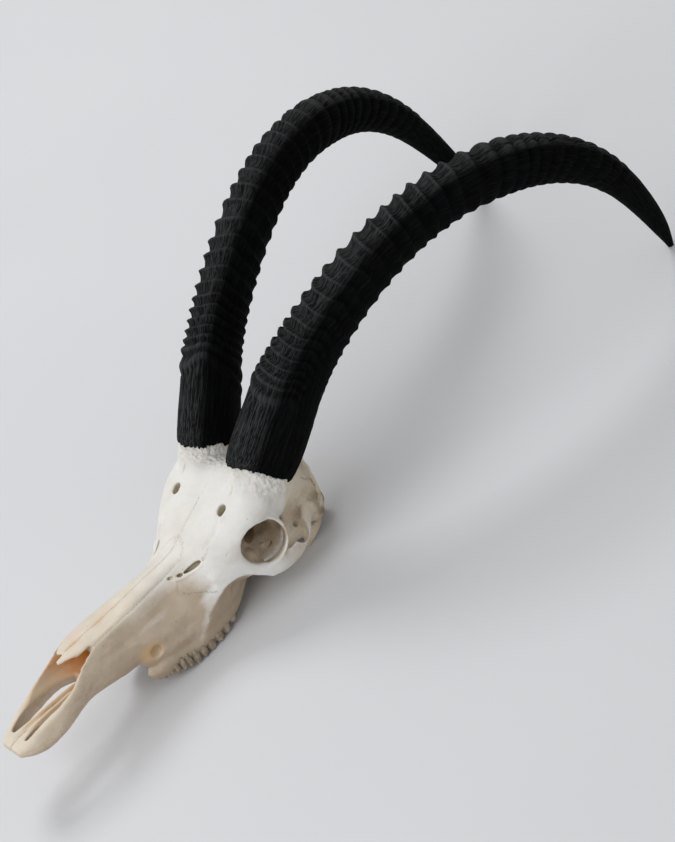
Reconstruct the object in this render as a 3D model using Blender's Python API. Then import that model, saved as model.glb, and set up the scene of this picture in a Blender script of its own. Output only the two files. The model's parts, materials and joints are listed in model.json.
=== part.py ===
"""Bleached skull of a horse antelope with its two ringed horns, resting on a flat surface.

The shapes are given in the animal's own frame, in millimetres: X to its left, Y from the tip
of the nose to the back of the head, Z up, with the nose tip at zero. The whole skull is then
pitched nose-up, so that it rests on the paroccipital tips and the two horn tips.
"""

import math

import bmesh
import bpy
import numpy as np
from mathutils import Matrix, Vector

MM = 0.001

# ---- How the skull rests -------------------------------------------------------------------
REST_PITCH = 14.0  # degrees, nose-up
REST_SHIFT = (0.0, -418.4, 65.7)  # after the pitch, mm

# ---- Resolution of the solids --------------------------------------------------------------
BONE_GRAIN = 2.2  # mm, cell of the mesh that joins the forms of the skull
BONE_TRIANGLES = 4300
HORN_SIDES = 13
GAP = 0.4  # mm between pieces that meet

# ---- Horns -----------------------------------------------------------------------------------
HORN_LENGTH = 680.0  # along the curve
HORN_FOOT = (42.0, 332.0, 132.0)  # centre of the left horn's foot
# Share of the length, lean backwards from upright, lean outwards, half depth, half width
HORN_COURSE = (
    (0.0, 24.0, 11.5, 37.0, 29.0),
    (0.2, 47.0, 13.5, 31.5, 25.5),
    (0.4, 67.0, 15.5, 29.5, 24.0),
    (0.6, 102.0, 12.0, 26.5, 22.0),
    (0.8, 142.0, 1.0, 17.0, 15.0),
    (0.93, 152.0, -7.0, 10.2, 9.4),
    (1.0, 156.0, -11.0, 3.4, 3.2),
)
RIM_FACING = (0.12, 0.58, 0.81)  # the lower rim lies square to this, lower at the back
RIM_RISE = 2.7  # the rim's middle above the foot, mm
SEAT_MARGIN = 2.5  # the trimmed seat reaches this far outside the horn
RINGS_START = 90.0  # mm along the horn, from its foot to the first ring's crest
RING_SPACINGS = (  # from each crest to the next, mm
    9, 9, 9, 10, 11, 10, 12, 15, 17, 15, 19, 19, 17, 16, 16, 16,
    16, 16, 20, 20, 18, 14, 12, 12, 14, 13, 16, 17, 16, 15, 15,
)
RING_RELIEF = 5.0  # height of the largest rings on the front of the horn, mm
RING_BACK_SHARE = 0.35  # of that height on the back
RING_SWEEP = 10.0  # a ring lies this much nearer the foot on the back than on the front
RING_LIFT = 10.0  # and the lowest rings this much further from it on the horn's outer front corner

# ---- Cheek teeth: name, length along the row, width across it -------------------------------
TEETH = (
    ("premolar_2", 13.0, 10.0),
    ("premolar_3", 14.0, 12.5),
    ("premolar_4", 14.0, 14.5),
    ("molar_1", 18.0, 16.5),
    ("molar_2", 21.0, 17.5),
    ("molar_3", 23.0, 16.5),
)
CHEEK_ROW = (  # outer edge of the row, on the chewing surface
    (28.5, 153, -12.5), (34, 164, -14.5), (39, 176, -15.3), (41.5, 190, -16.5),
    (42.5, 202, -15.8), (44, 222, -11.4), (44, 240, -5.2), (42, 255, 1.8),
)
CROWN_HEIGHT = 10.5
ROOT_DEPTH = 7.0

# ---- Main body of the skull: half outlines from the top of the midline to the bottom ----------
# (place along the skull, [(half width, height), ...])
BODY = (
    (-1.0, ((0, 5), (4, 5.5), (9, 5.5), (13, 4), (15, 1), (13.5, -2), (7, -2.5), (0, -2))),
    (12.0, ((0, 9), (8, 10), (16, 11.5), (21.5, 9), (24, 2), (21, -4.5), (10, -4.5), (0, -3))),
    (28.0, ((0, 11), (9, 13), (21, 19), (26, 11), (28, 1.5), (24.5, -5), (10, -4), (0, -2))),
    (42.0, ((0, 15), (12, 18), (23.5, 24.5), (28.5, 14), (28.5, 2), (23, -3), (10, -1), (0, 1))),
    (60.0, ((0, 28), (14, 30), (27.5, 32), (29.5, 20), (28, 7), (21, 3), (10, 4), (0, 5))),
    (76.0, ((0, 40), (14, 41), (27, 40.5), (28, 28), (26, 14), (20, 7), (10, 6), (0, 7))),
    (90.0, ((0, 52), (11, 54), (23, 52.5), (26, 39), (25, 23), (20, 10), (11, 8), (0, 8))),
    (104.0, ((0, 62.5), (11, 62), (20.5, 60), (25.5, 47.5), (25.5, 30), (23, 13), (12, 9), (0, 10))),
    (130.0, ((0, 66), (11, 65.5), (20.5, 63.5), (25, 50), (27, 33), (25, 13), (14, 9), (0, 11))),
    (146.0, ((0, 68.5), (11, 68), (20, 65), (26, 52), (30, 36), (28.5, 16), (16, 11), (0, 12))),
    (164.0, ((0, 71.7), (11, 71), (19.5, 66.5), (27.5, 54), (34, 37), (33, 13), (18, 9), (0, 13))),
    (200.0, ((0, 78.2), (11, 77), (19, 70.5), (30, 56.5), (39.5, 41), (38, 18), (24, 12), (0, 17))),
    (230.0, ((0, 84.6), (14, 82.5), (26.5, 76.5), (39, 67.5), (46, 52.5), (38, 26), (26, 18), (0, 22))),
    (245.0, ((0, 94), (20, 92.5), (36, 87), (48, 76.5), (52, 59), (40, 33), (26, 23), (0, 25))),
    (258.0, ((0, 103.3), (25, 103.5), (45, 98), (57.5, 86), (57, 64), (42, 40), (26, 28), (0, 28))),
    (278.0, ((0, 117), (30, 118), (55, 113), (68, 99), (62, 72), (44, 48), (26, 34), (0, 31))),
    (298.0, ((0, 128), (34, 131), (62, 124), (72, 106), (60, 78), (44, 54), (30, 38), (0, 33))),
    (316.0, ((0, 135), (38, 138), (65, 126), (69, 108), (50, 84), (43, 60), (32, 40), (0, 34))),
    (340.0, ((0, 128), (24, 126), (46, 114), (54, 100), (45, 84), (41, 62), (30, 44), (0, 37))),
    (365.0, ((0, 113), (20, 111), (34, 101), (40, 87), (42, 71), (41, 55), (28, 46), (0, 40))),
    (384.0, ((0, 101), (18, 99), (30, 90), (37, 78), (39, 65), (39, 53), (25, 45), (0, 42))),
    (394.0, ((0, 88), (14, 86), (24, 80), (30, 72), (31, 63), (27, 54), (18, 49), (0, 48))),
)

# ---- Bones added to the body, left side: (x, y, z, half across, half deep) -------------------
NASAL_TIP = (
    (9.6, 118, 61.2, 10, 3.2), (9, 100, 60.2, 9.4, 2.8), (7.4, 85, 58.4, 7, 2.2), (6.4, 73, 56.4, 3, 1.4),
)
SHORT_NASAL_TIP = (
    (9.6, 118, 61.2, 10, 3.2), (9, 103, 60.4, 9.4, 2.8), (7.8, 92, 59.4, 7.2, 2.2), (6.8, 83, 58.6, 2.8, 1.4),
)
ALVEOLAR_BONE = (
    (24, 150, 7.5, 4.5, 6), (25.5, 158, 3, 8.5, 9), (29, 178, 2, 10.5, 9.5), (32, 200, 2.5, 11.5, 10),
    (34, 222, 6.5, 11, 10.5), (34.5, 242, 14, 10.5, 11), (34, 260, 21, 9.5, 12), (34, 275, 30, 7.5, 11),
    (34, 288, 40, 5, 9),
)
ZYGOMATIC = (
    (36, 208, 30, 6, 13), (44, 228, 36, 5.5, 13), (52, 248, 45, 5.5, 12), (61, 270, 50, 5, 10),
    (67, 288, 46, 3.8, 7.5), (72, 306, 46.5, 3.2, 7), (72, 326, 50, 2.8, 6.5), (66, 342, 57, 3.2, 6),
    (52, 358, 63, 5, 7), (40, 366, 66, 6, 8),
)
PEDICLE = (
    (40, 300, 84, 22, 24), (42, 316, 104, 26, 31), (43, 326, 118, 27.5, 34), (46, 342, 143, 27.5, 35),
)
NUCHAL_CREST = (
    (0, 391, 102, 4, 3.6), (14, 391, 100, 4, 3.6), (28, 389, 92, 4, 3.6), (39, 386, 79, 4, 3.6),
    (43.5, 383, 62, 5, 4), (45, 379, 47, 5, 5),
)
PAROCCIPITAL = ((40, 376, 54, 8, 11), (42, 369, 42, 8, 9), (41.5, 362, 31, 6, 6.5), (40, 355, 20.5, 3.6, 4))
PTERYGOID = (
    (24, 262, 28, 3.4, 12), (22, 284, 30, 3, 14), (20, 306, 33, 3, 14), (17, 326, 36, 2.6, 11),
    (14, 340, 40, 2.2, 6),
)
SIDE_WALL = ((32, 292, 50, 8, 11), (33, 312, 45, 11, 14), (33, 336, 43, 11, 14), (33, 358, 46, 8, 11))
INCISIVE_ROD = (
    (4, 8, 5, 2.6, 3), (4.2, 26, 7.2, 2.3, 3), (4.4, 45, 9, 2.2, 3), (4.2, 64, 10.4, 2.2, 3),
    (3.8, 84, 12.2, 2.2, 3.2), (3.4, 108, 14.5, 2.4, 3.4),
)

# Rounded lumps, left side: centre, radii
CONDYLE = ((19, 391, 48), (11, 12, 14))
BULLA = ((31, 350, 42), (12, 16, 13))
EAR_BONE = ((44, 370, 55), (9, 12, 14))
EYE_FLOOR = ((44, 280, 50), (15, 22, 10))
SKULL_BASE = ((0, 268, 36, 14, 8), (0, 310, 38, 12, 7), (0, 350, 42, 16, 7), (0, 386, 47, 18, 7))

# Eye sockets: the collar of bone round each, and the hollow inside it
ORBIT_CENTRE = (69.0, 292.5, 77.5)
ORBIT_FACING = (0.951, -0.292, 0.0985)
ORBIT_RADIUS = 26.6  # to the middle of the collar's thickness
ORBIT_COLLAR = (2.3, 7.5, -6.8)  # half thickness, half depth, and how far in its middle lies
ORBIT_HOLLOW = (
    (112, 279, 84, 34, 34), (72, 291.5, 78, 24, 24), (58, 296, 78, 22, 22),
    (47, 301, 80, 15, 16), (38, 306, 81, 8, 9),
)

# ---- Hollows, left side: (x, y, z, half across, half deep) -----------------------------------
NASAL_HOLLOW = (
    (0, 14, 26, 8, 14), (0, 30, 31, 15.5, 20), (0, 46, 35, 20.5, 24), (0, 62, 36, 23.5, 23.5),
    (0, 78, 35, 23, 20), (0, 92, 38, 20.5, 21), (0, 106, 40, 20, 21), (0, 116, 41, 19.5, 21),
    (0, 150, 44, 20, 23), (0, 200, 50, 25, 24), (0, 240, 58, 26, 25), (0, 262, 58, 16, 16),
)
CHOANA = ((0, 236, 44, 9, 10), (0, 262, 30, 12, 11), (0, 290, 15, 12, 13), (0, 316, 4, 13, 12))
PALATINE_SLIT = (
    (11.5, 12, 2, 2.4, 14), (12.6, 26, 2, 6.4, 16), (14.8, 45, 5, 8.8, 16), (15, 62, 7, 9, 17),
    (13.4, 78, 9, 7.4, 18), (11, 95, 10, 3, 14),
)
PALATE_VAULT = (
    (13, 24, -13, 7, 10), (15, 34, -9, 10, 13), (16, 44, -6, 10.5, 13), (16, 56, -4, 10.5, 13),
    (15.5, 68, 0, 10, 13), (15, 80, 2, 8, 12), (13, 94, 0, 7, 11),
)
NOSE_CORNER = (
    (16.5, 64, 36, 7, 8), (17.5, 76, 42, 6.3, 9), (17.4, 86, 48, 5.8, 8), (17.4, 96, 53.5, 4.8, 5.2),
    (18, 103, 57.8, 3.2, 3.2), (18.6, 108, 60.6, 1.6, 1.6),
)
INCISIVE_NOTCH = ((0, -6, 2, 2.6, 8), (0, 0, 2, 1.8, 8), (0, 7, 5, 1.2, 6))
TEMPORAL_HOLLOW = (
    (74, 376, 130, 12, 12), (68, 361, 116, 14, 18), (64, 350, 98, 14, 17), (61, 341, 82, 13, 15),
    (57, 338, 66, 11, 13.5), (55, 337, 50, 10, 12), (54, 335, 26, 12, 14),
)
CHEEK_RECESS = (
    (62, 286, 24, 13, 13), (64, 272, 31, 17, 18), (62, 257, 37, 18, 19), (59, 243, 29, 16, 18),
    (57, 230, 12, 13.5, 15), (56, 218, -3, 11.5, 12),
)
BROW_HOLE = (
    (36, 270, 130, 4.6, 6), (37, 280, 117, 4.2, 5.2), (36.5, 286, 109, 3.4, 4.4), (36, 290, 104, 2, 2.5),
)
CHEEK_HOLE = ((46, 150, 18, 5, 5), (37, 162, 22, 4, 5), (31, 173, 26, 3.4, 4.2), (27, 182, 29, 2, 2.4))
FACE_SLIT = ((22, 205, 75, 0.8, 7), (28, 217, 76.5, 1.8, 8), (34, 228, 79, 2.4, 8), (40, 239, 83, 1.2, 8))
FACE_SLIT_ACROSS = (0.55, -0.1, -0.81)
BRAIN_HOLE = (
    (0, 412, 64, 17, 15), (0, 396, 65, 14, 13), (0, 376, 68, 15, 14), (0, 350, 74, 22, 20),
    (0, 330, 78, 12, 12),
)


# ---- Tools -----------------------------------------------------------------------------------
def clear_scene():
    for old in list(bpy.data.objects):
        bpy.data.objects.remove(old)


def smooth_course(rows, spans):
    """Rows of numbers joined by a smooth curve through every row, `spans` steps between two rows."""
    given = np.array(rows, float)
    ends = np.vstack([2 * given[0] - given[1], given, 2 * given[-1] - given[-2]])
    made = []
    for i in range(1, len(ends) - 2):
        before, start, stop, after = ends[i - 1 : i + 3]
        for t in np.arange(spans) / spans:
            made.append(
                0.5 * (2 * start + (stop - before) * t
                       + (2 * before - 5 * start + 4 * stop - after) * t ** 2
                       + (3 * start - before - 3 * stop + after) * t ** 3)
            )
    return np.array(made + [given[-1]])


def add_loop(bm, points):
    verts = [bm.verts.new(Vector(p) * MM) for p in points]
    return [bm.edges.new((verts[i], verts[(i + 1) % len(verts)])) for i in range(len(verts))]


def skin_loops(bm, loops):
    """Closes a row of loops into one skin with both ends capped, faces outwards."""
    made = [add_loop(bm, points) for points in loops]
    faces = []
    for lower, upper in zip(made, made[1:]):
        faces += bmesh.ops.bridge_loops(bm, edges=lower + upper)["faces"]
    for end in (made[0], made[-1]):
        faces += bmesh.ops.contextual_create(bm, geom=end)["faces"]
    bmesh.ops.recalc_face_normals(bm, faces=faces)


def limb_loops(rows, sides=16, across=(1, 0, 0), spans=3):
    """Elliptical loops along a course of (x, y, z, half across, half deep)."""
    course = smooth_course(rows, spans)
    centres = course[:, :3]
    along = np.gradient(centres, axis=0)
    along /= np.linalg.norm(along, axis=1)[:, None]
    side = np.array(across, float) - (along @ np.array(across, float))[:, None] * along
    side /= np.linalg.norm(side, axis=1)[:, None]
    deep = np.cross(along, side)
    turn = np.linspace(0, 2 * math.pi, sides, endpoint=False)
    return [
        centre + np.outer(np.cos(turn) * wide, s) + np.outer(np.sin(turn) * tall, d)
        for centre, s, d, (wide, tall) in zip(centres, side, deep, course[:, 3:5])
    ]


def mirrored(rows):
    """The same course on the right side of the skull."""
    return tuple((-row[0],) + tuple(row[1:]) for row in rows)


def add_limb(bm, rows, both=True, across=(1, 0, 0)):
    skin_loops(bm, limb_loops(rows, across=across))
    if both:
        skin_loops(bm, limb_loops(mirrored(rows), across=(-across[0], across[1], across[2])))


def add_lump(bm, centre, radii):
    for side in (1, -1):
        place = Matrix.Translation(Vector((centre[0] * side, centre[1], centre[2])) * MM)
        size = Matrix.Diagonal((*[r * MM for r in radii], 1.0))
        bmesh.ops.create_icosphere(bm, subdivisions=3, radius=1.0, matrix=place @ size)


def add_orbit_collars(bm):
    """A collar of bone round each eye socket, flush with the face and reaching inwards."""
    thick, deep, inset = ORBIT_COLLAR
    for side in (1, -1):
        facing = np.array((ORBIT_FACING[0] * side, *ORBIT_FACING[1:]))
        facing /= np.linalg.norm(facing)
        centre = np.array((ORBIT_CENTRE[0] * side, *ORBIT_CENTRE[1:])) + inset * facing
        up = np.array((0.0, 0.0, 1.0)) - facing[2] * facing
        up /= np.linalg.norm(up)
        back = np.cross(facing, up)
        made = []
        for turn in np.linspace(0, 2 * math.pi, 40, endpoint=False):
            out = math.cos(turn) * up + math.sin(turn) * back
            middle = centre + out * ORBIT_RADIUS
            rim = np.linspace(0, 2 * math.pi, 12, endpoint=False)
            section = [middle + thick * math.cos(a) * out + deep * math.sin(a) * facing for a in rim]
            made.append(add_loop(bm, section))
        faces = []
        for i, lower in enumerate(made):
            faces += bmesh.ops.bridge_loops(bm, edges=lower + made[(i + 1) % len(made)])["faces"]
        bmesh.ops.recalc_face_normals(bm, faces=faces)


def body_loops():
    """Full outlines of the skull's main body, smoothed along it and around it."""
    rows = [[y] + [value for point in outline for value in point] for y, outline in BODY]
    loops = []
    for row in smooth_course(rows, 3):
        half = row[1:].reshape(-1, 2)
        whole = np.vstack([half, (half * (-1, 1))[-2:0:-1]])
        around = smooth_course(np.vstack([whole, whole[:3]]), 3)[3:-3]
        loops.append([(x, row[0], z) for x, z in around])
    return loops


def mesh_object(name, bm, hidden=False):
    mesh = bpy.data.meshes.new(name)
    bm.to_mesh(mesh)
    bm.free()
    made = bpy.data.objects.new(name, mesh)
    bpy.context.scene.collection.objects.link(made)
    made.hide_render = hidden
    if hidden:
        made.display_type = "WIRE"
    return made


def add_boolean(piece, cutter, operation="DIFFERENCE"):
    cut = piece.modifiers.new("cut_by_" + cutter.name, "BOOLEAN")
    cut.operation = operation
    cut.object = cutter
    cut.solver = "EXACT"


def bone_colour():
    return painted("bleached_bone", (0.86, 0.82, 0.74), 0.55)


def painted(name, colour, roughness):
    made = bpy.data.materials.get(name) or bpy.data.materials.new(name)
    made.use_nodes = True
    shader = made.node_tree.nodes["Principled BSDF"]
    shader.inputs["Base Color"].default_value = (*colour, 1.0)
    shader.inputs["Roughness"].default_value = roughness
    shader.inputs["Metallic"].default_value = 0.0
    return made


# ---- Horns -----------------------------------------------------------------------------------
def horn_course(share):
    """Centre, forward, sideways and lengthwise directions and half sizes at shares of the length."""
    table = smooth_course(HORN_COURSE, 12)
    fine = np.linspace(0, 1, 341)
    back, out, deep, wide = (np.interp(fine, table[:, 0], table[:, i]) for i in (1, 2, 3, 4))
    back, out = np.radians(back), np.radians(out)
    along = np.stack([np.sin(out), np.sin(back) * np.cos(out), np.cos(back) * np.cos(out)], 1)
    step = HORN_LENGTH / (len(fine) - 1)
    middle = np.vstack([np.zeros(3), np.cumsum((along[1:] + along[:-1]) / 2 * step, axis=0)])
    centre = middle + np.array(HORN_FOOT)
    pick = [np.interp(share, fine, column) for column in (*centre.T, *along.T, deep, wide)]
    here = np.stack(pick, 1)
    along = here[:, 3:6] / np.linalg.norm(here[:, 3:6], axis=1)[:, None]
    sideways = np.cross(np.array((0.0, -1.0, 0.0)), along)
    level = np.array((1.0, 0.0, 0.0))
    sideways = level - (along @ level)[:, None] * along
    sideways /= np.linalg.norm(sideways, axis=1)[:, None]
    front = np.cross(sideways, along)
    return here[:, :3], front, sideways, along, here[:, 6], here[:, 7]


def ring_places():
    """Millimetres along the horn of every ring's crest."""
    return RINGS_START + np.cumsum((0,) + RING_SPACINGS)


def ring_height(place):
    """A ring's height on the front of the horn: it grows over the first rings and fades at the last."""
    share = (place - RINGS_START) / sum(RING_SPACINGS)
    return RING_RELIEF * min(1.0, 0.4 + share * 2.4) * min(1.0, 0.3 + (1 - share) * 2.0)


def slid_to_rim(points, fade):
    """Points slid along the horn's first direction, towards the slanting plane of its lower rim."""
    along = horn_course(np.array([0.0]))[3][0]
    facing = np.array(RIM_FACING) / np.linalg.norm(RIM_FACING)
    short = (RIM_RISE - (points - np.array(HORN_FOOT)) @ facing) / (along @ facing)
    return points + np.outer(short * fade, along)


def ring_shift(place, turn):
    """How far a ring lies towards the horn's foot at this angle around it, mm."""
    degrees = np.degrees(np.abs((turn + math.pi) % (2 * math.pi) - math.pi))
    swept = RING_SWEEP * np.clip((degrees - 45) / 120, 0, 1)
    lifted = RING_LIFT * np.exp(-((degrees - 58) / 24) ** 2) * max(0.0, 1 - max(0.0, place - 170.0) / 100)
    return swept - lifted


def horn_object(name, side):
    crests = ring_places()
    valleys = (crests[1:] + crests[:-1]) / 2
    stations = [(0.0, 0.0), (RINGS_START * 0.45, 0.0), (RINGS_START - 5.0, -0.5 * ring_height(crests[0]))]
    for i, crest in enumerate(crests):
        stations.append((crest, 0.5 * ring_height(crest)))
        if i < len(valleys):
            stations.append((valleys[i], -0.5 * ring_height(valleys[i])))
    last = HORN_LENGTH - crests[-1]
    stations += [(crests[-1] + last * share, 0.0) for share in (0.06, 0.25, 0.5, 0.7, 0.85, 0.95, 1.0)]
    turn = np.linspace(0, 2 * math.pi, HORN_SIDES, endpoint=False)
    around = RING_BACK_SHARE + (1 - RING_BACK_SHARE) * (0.5 + 0.5 * np.cos(turn))
    loops = []
    for place, height in stations:
        ringed = min(1.0, max(0.0, place / RINGS_START), max(0.0, (crests[-1] + 40 - place) / 40))
        here = place - ring_shift(place, turn) * ringed
        centre, front, sideways, _, deep, wide = horn_course(here / HORN_LENGTH)
        lift = height * around
        ahead = (np.cos(turn) * (deep + lift))[:, None] * front
        beside = (np.sin(turn) * (wide + lift))[:, None] * sideways
        fade = max(0.0, 1.0 - place / RINGS_START)
        loops.append(slid_to_rim(centre + ahead + beside, fade) * (side, 1, 1))
    bm = bmesh.new()
    skin_loops(bm, loops)
    horn = mesh_object(name, bm)
    horn.data.materials.append(painted("horn_black", (0.018, 0.019, 0.019), 0.6))
    horn.data.shade_smooth()
    horn.data.set_sharp_from_angle(angle=math.radians(18))
    return horn


def horn_seat_cutters():
    """Plugs that trim the bone flat just below each horn's rim."""
    centre, front, sideways, along, deep, wide = horn_course(np.array([0.0]))
    turn = np.linspace(0, 2 * math.pi, 28, endpoint=False)
    ring = np.outer(np.cos(turn) * (deep[0] + SEAT_MARGIN), front[0])
    ring = centre[0] + ring + np.outer(np.sin(turn) * (wide[0] + SEAT_MARGIN), sideways[0])
    low = slid_to_rim(ring, 1.0) - along[0] * GAP
    bm = bmesh.new()
    for side in (1, -1):
        skin_loops(bm, [low * (side, 1, 1), (low + along[0] * 60.0) * (side, 1, 1)])
    return mesh_object("horn_seat_cutters", bm, hidden=True)


# ---- Cheek teeth -----------------------------------------------------------------------------
def tooth_outline(length, width, grow=0.0):
    """Seen from below: outer side ribbed, inner side in two rounded lobes. (along, inwards)"""
    half, rib = length / 2 + grow, 1.2
    outer = [(-half, 0.6), (-half * 0.5, rib), (-half * 0.1, 0.0)]
    outer += [(-along, inwards) for along, inwards in reversed(outer)]
    inner = [(half, width * 0.6), (half * 0.55, width), (0, width * 0.82)]
    inner += [(-along, inwards) for along, inwards in reversed(inner[:2])]
    outer = [(a, b - grow) for a, b in outer]
    inner = [(a, b + grow) for a, b in inner]
    return outer + inner


def tooth_places():
    """Name, middle of the outer side, direction of the row there, length and width of each left tooth."""
    row = smooth_course(CHEEK_ROW, 10)
    run = np.concatenate([[0], np.cumsum(np.linalg.norm(np.diff(row, axis=0), axis=1))])
    scale = run[-1] / sum(length for _, length, _ in TEETH)
    passed = 0.0
    for name, length, width in TEETH:
        marks = np.array((passed, passed + length)) * scale
        ends = np.stack([np.interp(marks, run, row[:, i]) for i in range(3)], 1)
        course = (ends[1] - ends[0]) / np.linalg.norm(ends[1] - ends[0])
        yield name, (ends[0] + ends[1]) / 2, course, length * scale - GAP, width
        passed += length


def tooth_mesh(middle, course, length, width, side, top, bottom, grow=0.0):
    """One tooth, or its socket, as a short column between two heights above its chewing surface.

    The ends of all the teeth of a row face the same way, so that they don't meet where it bends.
    """
    whole_row = np.array(CHEEK_ROW[-1], float) - np.array(CHEEK_ROW[0], float)
    inwards = -np.cross(whole_row, (0.0, 0.0, 1.0))
    inwards /= np.linalg.norm(inwards)
    up = np.cross(inwards, whole_row)
    up *= np.sign(up[2]) / np.linalg.norm(up)
    outline = tooth_outline(length, width, grow)
    levels = [(bottom, 0.94), (bottom + 2.0, 1.0), (top, 0.98)]
    loops = []
    for height, share in levels:
        loops.append([
            (middle + course * a * share + inwards * (width / 2 + (b - width / 2) * share) + up * height)
            * (side, 1, 1)
            for a, b in outline
        ])
    bm = bmesh.new()
    skin_loops(bm, loops)
    return bm


def tooth_objects():
    """The twelve cheek teeth and one object with all their sockets."""
    teeth = []
    sockets = bmesh.new()
    for side, word in ((1, "left"), (-1, "right")):
        for name, middle, course, length, width in tooth_places():
            bm = tooth_mesh(middle, course, length, width, side, CROWN_HEIGHT + ROOT_DEPTH, 0.0)
            tooth = mesh_object(f"{word}_{name}", bm)
            tooth.data.materials.append(painted("tooth_enamel", (0.42, 0.37, 0.30), 0.45))
            teeth.append(tooth)
            deep = CROWN_HEIGHT + ROOT_DEPTH + GAP
            hole = tooth_mesh(middle, course, length, width, side, deep, -8.0, grow=GAP * 0.45)
            room = bpy.data.meshes.new("socket")
            hole.to_mesh(room)
            hole.free()
            sockets.from_mesh(room)
            bpy.data.meshes.remove(room)
    return teeth, mesh_object("tooth_socket_cutters", sockets, hidden=True)


# ---- Skull -----------------------------------------------------------------------------------
def bone_forms():
    """Every form of the skull, overlapping, in one mesh: the Remesh modifier makes them one."""
    bm = bmesh.new()
    skin_loops(bm, body_loops())
    add_limb(bm, NASAL_TIP, both=False)
    add_limb(bm, mirrored(SHORT_NASAL_TIP), both=False)
    for rows in (ALVEOLAR_BONE, ZYGOMATIC, PEDICLE, NUCHAL_CREST, PAROCCIPITAL, PTERYGOID, SIDE_WALL):
        add_limb(bm, rows)
    add_limb(bm, SKULL_BASE, both=False)
    for centre, radii in (CONDYLE, BULLA, EAR_BONE, EYE_FLOOR):
        add_lump(bm, centre, radii)
    add_orbit_collars(bm)
    return mesh_object("skull", bm)


def hollow_forms():
    """The skull's hollows, overlapping, made one by the same Remesh."""
    bm = bmesh.new()
    for rows in (NASAL_HOLLOW, CHOANA, BRAIN_HOLE, INCISIVE_NOTCH):
        add_limb(bm, rows, both=False)
    for rows in (ORBIT_HOLLOW, TEMPORAL_HOLLOW, CHEEK_RECESS, BROW_HOLE, CHEEK_HOLE):
        add_limb(bm, rows)
    for rows in (PALATINE_SLIT, PALATE_VAULT, NOSE_CORNER):
        add_limb(bm, rows)
    add_limb(bm, FACE_SLIT, across=FACE_SLIT_ACROSS)
    hollow = mesh_object("skull_hollows", bm, hidden=True)
    add_remesh(hollow, BONE_GRAIN)
    return hollow


def incisive_rods():
    """The pair of straight rods that run back along the middle of the muzzle."""
    bm = bmesh.new()
    add_limb(bm, INCISIVE_ROD)
    rods = mesh_object("incisive_rods", bm, hidden=True)
    add_remesh(rods, BONE_GRAIN * 0.6)
    return rods


def add_remesh(piece, grain):
    remesh = piece.modifiers.new("one_skin", "REMESH")
    remesh.mode = "VOXEL"
    remesh.voxel_size = grain * MM


def add_smooth(piece, factor, repeats):
    smooth = piece.modifiers.new("soften", "SMOOTH")
    smooth.factor = factor
    smooth.iterations = repeats


def floor_cutter():
    """Trims what rests on the surface to a true flat."""
    bm = bmesh.new()
    below = Matrix.Translation((0, 0, -0.05)) @ Matrix.Diagonal((1.6, 1.6, 0.1, 1))
    bmesh.ops.create_cube(bm, size=1.0, matrix=below)
    return mesh_object("floor_cutter", bm, hidden=True)


def thin_out(piece, triangles):
    """Collapses edges until about this many triangles are left."""
    graph = bpy.context.evaluated_depsgraph_get()
    dense = piece.evaluated_get(graph).to_mesh()
    dense.calc_loop_triangles()
    share = triangles / len(dense.loop_triangles)
    piece.evaluated_get(graph).to_mesh_clear()
    thin = piece.modifiers.new("thin_out", "DECIMATE")
    thin.ratio = share


def skull_object(sockets, floor):
    skull = bone_forms()
    hollow = hollow_forms()
    rods = incisive_rods()
    add_remesh(skull, BONE_GRAIN)
    add_smooth(skull, 0.5, 5)
    add_boolean(skull, hollow)
    add_boolean(skull, rods, "UNION")
    add_remesh_again = skull.modifiers.new("one_skin_again", "REMESH")
    add_remesh_again.mode = "VOXEL"
    add_remesh_again.voxel_size = BONE_GRAIN * 0.8 * MM
    add_smooth(skull, 0.5, 2)
    thin_out(skull, BONE_TRIANGLES)
    add_boolean(skull, horn_seat_cutters())
    add_boolean(skull, sockets)
    add_boolean(skull, floor)
    skull.data.materials.append(bone_colour())
    skull.data.shade_smooth()
    return skull


def main():
    clear_scene()
    teeth, sockets = tooth_objects()
    horns = [horn_object("left_horn", 1), horn_object("right_horn", -1)]
    floor = floor_cutter()
    skull = skull_object(sockets, floor)
    for horn in horns:
        add_boolean(horn, floor)
    rest = bpy.data.objects.new("skull_at_rest", None)
    bpy.context.scene.collection.objects.link(rest)
    rest.rotation_euler.x = -math.radians(REST_PITCH)
    rest.location = Vector(REST_SHIFT) * MM
    for piece in bpy.data.objects:
        if piece not in (rest, floor):
            piece.parent = rest


main()
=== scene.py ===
# %% [markdown]
# The object is the bleached skull of a large antelope, without its lower jaw, with both horns.
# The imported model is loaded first. It holds plain solids for the skull, two horns and twelve
# teeth, already in their places. Every piece made below stands for one of those solids, so it
# has to keep their place and size.

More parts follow.
